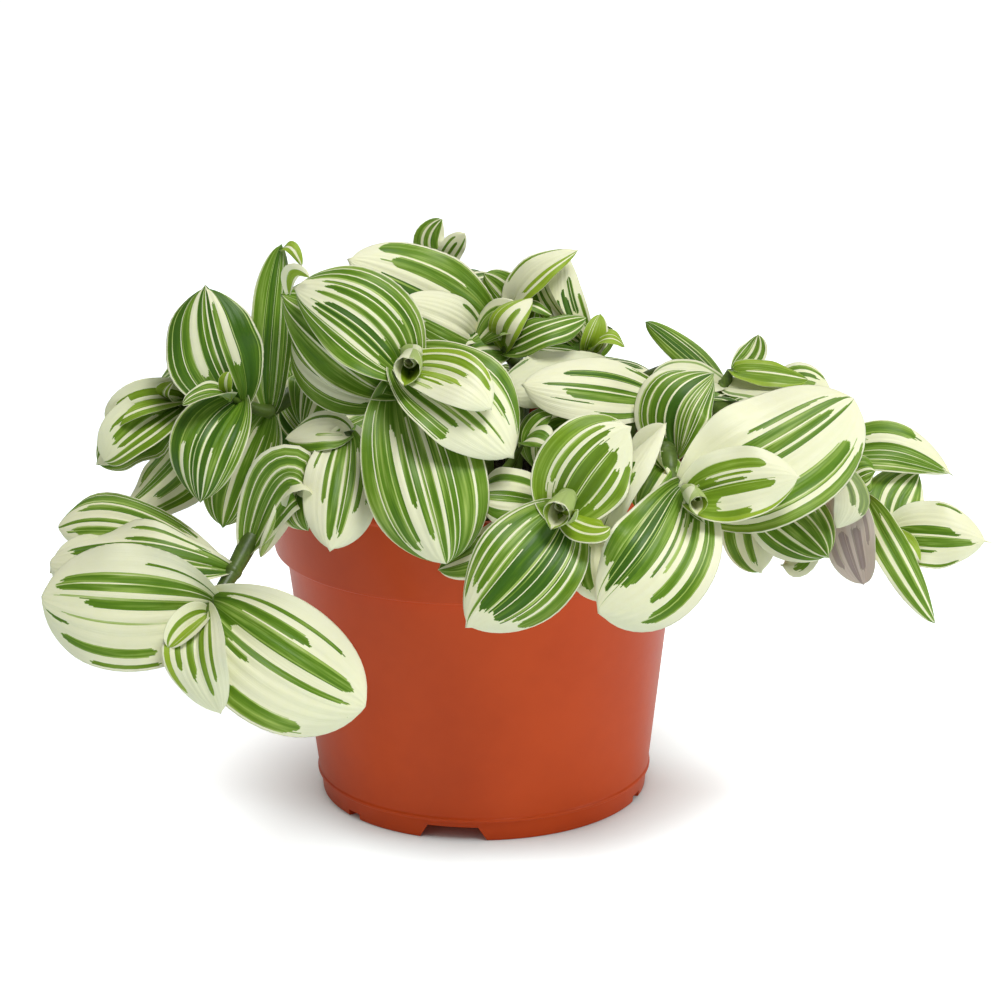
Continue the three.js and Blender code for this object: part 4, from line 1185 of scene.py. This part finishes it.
def leaf_finish():
    material, tree, shader = new_material("striped leaf")
    uv = node(tree, "ShaderNodeUVMap", {"uv_map": "along"}).outputs[0]
    parts = node(tree, "ShaderNodeSeparateXYZ", Vector=uv)
    t, s = parts.outputs[0], parts.outputs[1]
    band = node(tree, "ShaderNodeAttribute", {"attribute_name": "band"})
    bands = node(tree, "ShaderNodeSeparateColor", Color=band.outputs["Color"])
    kind = node(tree, "ShaderNodeAttribute", {"attribute_name": "kind"})
    kinds = node(tree, "ShaderNodeSeparateColor", Color=kind.outputs["Color"])
    pigment, start, end, outside = bands.outputs[0], bands.outputs[1], bands.outputs[2], band.outputs["Alpha"]
    seed, youth, flush, under = kinds.outputs[0], kinds.outputs[1], kinds.outputs[2], kind.outputs["Alpha"]
    begun = step_up(tree, calc(tree, "SUBTRACT", s, start), -0.006, 0.006)
    ended = step_up(tree, calc(tree, "SUBTRACT", end, s), -0.006, 0.006)
    inside = calc(tree, "MULTIPLY", begun, ended)
    level = node(tree, "ShaderNodeMix", Factor=inside, A=outside, B=pigment).outputs[0]
    lines, broad = fine_lines(tree, uv, 75.0, seed), fine_lines(tree, uv, 16.0, seed)
    cells = mottle(tree, 420.0, 0.5)
    sway = calc(tree, "ADD", calc(tree, "MULTIPLY", calc(tree, "SUBTRACT", lines, 0.5), 0.5),
                calc(tree, "MULTIPLY", calc(tree, "SUBTRACT", broad, 0.5), 1.0))
    shade = calc(tree, "ADD", level, calc(tree, "MULTIPLY", sway, calc(tree, "GREATER_THAN", level, 0.1)))
    low = blend(tree, step_up(tree, shade, 0.0, 0.35), CREAM, PALE_GREEN)
    middle = blend(tree, step_up(tree, shade, 0.25, 0.7), low, MID_GREEN)
    green = blend(tree, step_up(tree, shade, 0.6, 1.1), middle, DARK_GREEN)
    leafy = step_up(tree, shade, 0.05, 0.5)
    youthful = calc(tree, "MULTIPLY", calc(tree, "MULTIPLY", youth, leafy), 0.85)
    young = blend(tree, youthful, green, YOUNG_GREEN)
    grey = node(tree, "ShaderNodeCombineColor", i0=cells, i1=cells, i2=cells).outputs[0]
    celled = blend(tree, 0.16, young, grey, "OVERLAY")
    beneath = blend(tree, calc(tree, "MULTIPLY", under, 0.42), celled, UNDER_TONE)
    flushed = blend(tree, calc(tree, "MULTIPLY", flush, 0.6), beneath, PURPLE)
    from_middle = calc(tree, "ABSOLUTE", calc(tree, "SUBTRACT", t, 0.5))
    rim = calc(tree, "MULTIPLY", step_up(tree, from_middle, 0.484, 0.492), 0.85)
    tree.links.new(blend(tree, rim, flushed, CREAM), shader.inputs["Base Color"])
    rough = calc(tree, "ADD", calc(tree, "MULTIPLY", under, 0.14), calc(tree, "MULTIPLY", cells, 0.14))
    tree.links.new(calc(tree, "ADD", rough, 0.34), shader.inputs["Roughness"])
    relief(tree, shader, calc(tree, "ADD", lines, calc(tree, "MULTIPLY", cells, 0.35)), 0.28, 0.4)
    same_all_over(shader, Specular_IOR_Level=0.28, Subsurface_Weight=0.12,
                  Subsurface_Radius=(1.0, 1.0, 0.4), Subsurface_Scale=1.5 * MM)
    return material


LEAF = leaf_finish()
print("leaf nodes:", len(LEAF.node_tree.nodes))

# %% Every shoot's leaves as one piece
LOOKS = {  # what sets single leaves apart from the habit, by shoot and by place in its list
    "low_left": {
        0: {"tip": 0.44, "point": 0.01, "wave": 0.05},
        1: {"tip": 0.44, "point": 0.01},
        2: {"wave": (0.02, 0.26), "waves": 1.5, "phase": (0, 3.4), "tip": 0.42, "root": 0.8, "point": 0.01},
        3: {"root": 0.95, "tip": 0.42, "point": 0.01, "wave": 0.1},
        4: {"young": 0.4, "fold": 0.2},
        5: {"young": 0.5, "cup": 0.3, "fold": 0.5},
        6: {"wave": 0.1, "waves": 1.3, "tip": 0.5},
    },
    "left_upper": {
        2: {"cup": 0.1, "fold": 0.3},
        3: {"wave": 0.12},
        6: {"young": 0.8},
        7: {"young": 0.6},
    },
    "far_left": {
        0: {"wave": 0.24, "waves": 2.6},
        3: {"wave": 0.14, "waves": 1.6, "fold": 0.3, "young": 0.3},
        4: {"fold": 0.4, "young": 0.5},
        5: {"young": 0.8},
    },
    "centre": {
        4: {"young": 0.6},
        5: {"young": 0.9, "rolled": True},
        6: {"tip": 0.46, "point": 0.015},
        7: {"young": 0.6},
    },
    "upper_mid": {0: {"tip": 0.72, "young": 0.3}, 1: {"young": 0.5}, 2: {"wave": 0.2}},
    "upper_right": {4: {"pale": 0.6}},
    "front": {
        0: {"young": 0.35},
        2: {"young": 0.7},
        3: {"young": 0.9, "rolled": True},
        4: {"young": 0.5},
    },
    "right_front": {
        0: {"tip": 0.44, "point": 0.01},
        1: {"young": 0.4, "tip": 0.66},
        2: {"wave": (0.04, 0.24), "waves": 1.3, "tip": 0.46, "point": 0.02},
        3: {"young": 0.9, "rolled": True},
        4: {"twist": 25, "wave": 0.15, "tip": 0.75},
    },
    "right_upper": {1: {"pale": 0.6}, 2: {"young": 0.35}, 5: {"pale": 0.6}},
    "far_right": {
        0: {"tip": 0.72, "point": 0.12},
        1: {"tip": 0.72, "point": 0.12},
        2: {"twist": 50, "wave": 0.15},
        4: {"young": 0.6},
    },
    "right_low": {0: {"flush": 0.85}, 1: {"flush": 0.15, "pale": 0.4}},
}
LARGE, SMALL = (26, 96), (20, 48)
SMALL_WIDTH = 14


def dress_shoot(name, shoot):
    points, polygons, rows = [], [], []
    count = 0
    for index, (at, mid, tip, face, width, cup, score) in enumerate(shoot["leaves"]):
        rng = random.Random(name + str(index))
        looks = LOOKS.get(name, {}).get(index, {})
        root = at if isinstance(at, tuple) else shoot["nodes"][at]
        shape = (root, mid, tip, face, width, looks.get("cup", cup))
        size = SMALL if width < SMALL_WIDTH else LARGE
        surface = scroll if looks.get("rolled") else blade
        leaf_points, leaf_polygons, *leaf_rows = one_leaf(surface, shape, score, rng, looks, size)
        points.append(leaf_points)
        polygons += [(polygon + count).tolist() for polygon in leaf_polygons]
        rows.append(leaf_rows)
        count += len(leaf_points)
    uv, bands, kinds = (np.concatenate(part) for part in zip(*rows))
    colours = {"band": bands, "kind": kinds}
    piece = new_piece("leaves_" + name, np.concatenate(points), polygons, LEAF, uv, colours)
    return settle(piece, "foliage", "shoot_" + name)


for shoot_name, shoot_rows in SHOOTS.items():
    dress_shoot(shoot_name, shoot_rows)

# %% [markdown]
# ## Stems
# The stems are smooth and olive, a little zigzag from node to node, with a
# swollen ring at each node where the leaf's sheath clasps, and they thin out
# towards the growing tip. Geometry Nodes sweep a round section along each
# stem's path, scaled by a taper that the path's points carry, and set a ring on
# every node above the soil but the last two. The old stem that hangs bare over the rim is stouter.

# %% Stem finish
STEM_TONES = (0.055, 0.095, 0.010, 1), (0.11, 0.18, 0.022, 1)


def stem_finish():
    material, tree, shader = new_material("olive stem")
    patch = mottle(tree, 90.0, 0.3)
    colour = blend(tree, step_up(tree, patch, 0.4, 0.62), *STEM_TONES)
    tree.links.new(colour, shader.inputs["Base Color"])
    relief(tree, shader, patch, 0.3, 0.3)
    same_all_over(shader, Roughness=0.42)
    return material


STEM = stem_finish()
print(STEM.name, "nodes:", len(STEM.node_tree.nodes))

# %% Sweep and rings by Geometry Nodes
def stem_tree():
    tree, given, result = geometry_tree("stem", [
        ("Stem radius", "NodeSocketFloat"), ("Ring radius", "NodeSocketFloat"), ("Step", "NodeSocketFloat")])
    taper = node(tree, "GeometryNodeInputNamedAttribute", {"data_type": "FLOAT"}, Name="taper").outputs[0]
    path = node(tree, "GeometryNodeMeshToCurve", Mesh=given["Geometry"])
    even = node(tree, "GeometryNodeResampleCurve", {"mode": "LENGTH"}, Curve=path.outputs[0])
    tree.links.new(given["Step"], even.inputs["Length"])
    section = node(tree, "GeometryNodeCurvePrimitiveCircle", Radius=given["Stem radius"], Resolution=14)
    swept = node(tree, "GeometryNodeCurveToMesh", Curve=even.outputs[0], Profile_Curve=section.outputs[0],
                 Scale=taper)
    swept.inputs["Fill Caps"].default_value = True
    ball = node(tree, "GeometryNodeMeshUVSphere", Segments=16, Rings=10, Radius=given["Ring radius"])
    flag = node(tree, "GeometryNodeInputNamedAttribute", {"data_type": "FLOAT"}, Name="ring")
    spots = node(tree, "GeometryNodeMeshToPoints", Mesh=given["Geometry"], Selection=calc(
        tree, "GREATER_THAN", flag.outputs[0], 0.5))
    rings = node(tree, "GeometryNodeInstanceOnPoints", Points=spots.outputs[0], Instance=ball.outputs[0],
                 Scale=taper)
    both = node(tree, "GeometryNodeJoinGeometry")
    tree.links.new(swept.outputs[0], both.inputs[0])
    tree.links.new(rings.outputs[0], both.inputs[0])
    smooth = node(tree, "GeometryNodeSetShadeSmooth", Geometry=both.outputs[0])
    close_tree(tree, smooth.outputs[0], STEM, result)
    return tree


STEM_TREE = stem_tree()
print("stem tree nodes:", len(STEM_TREE.nodes))

# %% Each stem's path and its piece
STEM_FOOT, STEM_STRAIGHT_TO, STEM_RADIUS, RING_RADIUS, STEM_STEP = 79, 95, 2.55, 2.8, 2
TIP_TAPER, TAPER_FROM = 0.12, 0.6
STOUT = {"low_left": 1.3}
CURVE_STEPS = 6


def stem_points(nodes):
    """A smooth path through the nodes, 1 at each point with a ring, and each point's taper."""
    x, y = nodes[0][:2]
    knots = [np.array(p, float) for p in [(x, y, STEM_FOOT), (x, y, STEM_STRAIGHT_TO), *nodes[1:]]]
    ends = [2 * knots[0] - knots[1], *knots, 2 * knots[-1] - knots[-2]]
    points, rings = [], []
    for k in range(1, len(ends) - 2):
        a, b, c, d = ends[k - 1:k + 3]
        for share in np.arange(CURVE_STEPS) / CURVE_STEPS:
            bent = 0.5 * (2 * b + (c - a) * share + (2 * a - 5 * b + 4 * c - d) * share ** 2
                          + (3 * b - a - 3 * c + d) * share ** 3)
            straight = b + (c - b) * share
            points.append((bent + straight) / 2)
            rings.append(1.0 if share == 0 and 2 < k < len(ends) - 3 else 0.0)
    points.append(knots[-1])
    rings.append(0.0)
    taper = [1 - (1 - TIP_TAPER) * max(0, (k + 1) / len(points) - TAPER_FROM) / (1 - TAPER_FROM)
             for k in range(len(points))]
    return points, rings, taper


def dress_stem(name, nodes):
    points, rings, taper = stem_points(nodes)
    mesh = bpy.data.meshes.new("stem_" + name)
    mesh.from_pydata((np.array(points) * MM).tolist(), [(k, k + 1) for k in range(len(points) - 1)], [])
    mesh.attributes.new("ring", "FLOAT", "POINT").data.foreach_set("value", rings)
    mesh.attributes.new("taper", "FLOAT", "POINT").data.foreach_set("value", taper)
    piece = bpy.data.objects.new("stem_" + name, mesh)
    bpy.context.scene.collection.objects.link(piece)
    girth = STOUT.get(name, 1) * MM
    run_tree(piece, STEM_TREE, **{
        "Stem radius": STEM_RADIUS * girth, "Ring radius": RING_RADIUS * girth, "Step": STEM_STEP * MM})
    return settle(piece, "foliage", "shoot_" + name)


for shoot_name, shoot_rows in SHOOTS.items():
    dress_stem(shoot_name, shoot_rows["nodes"])
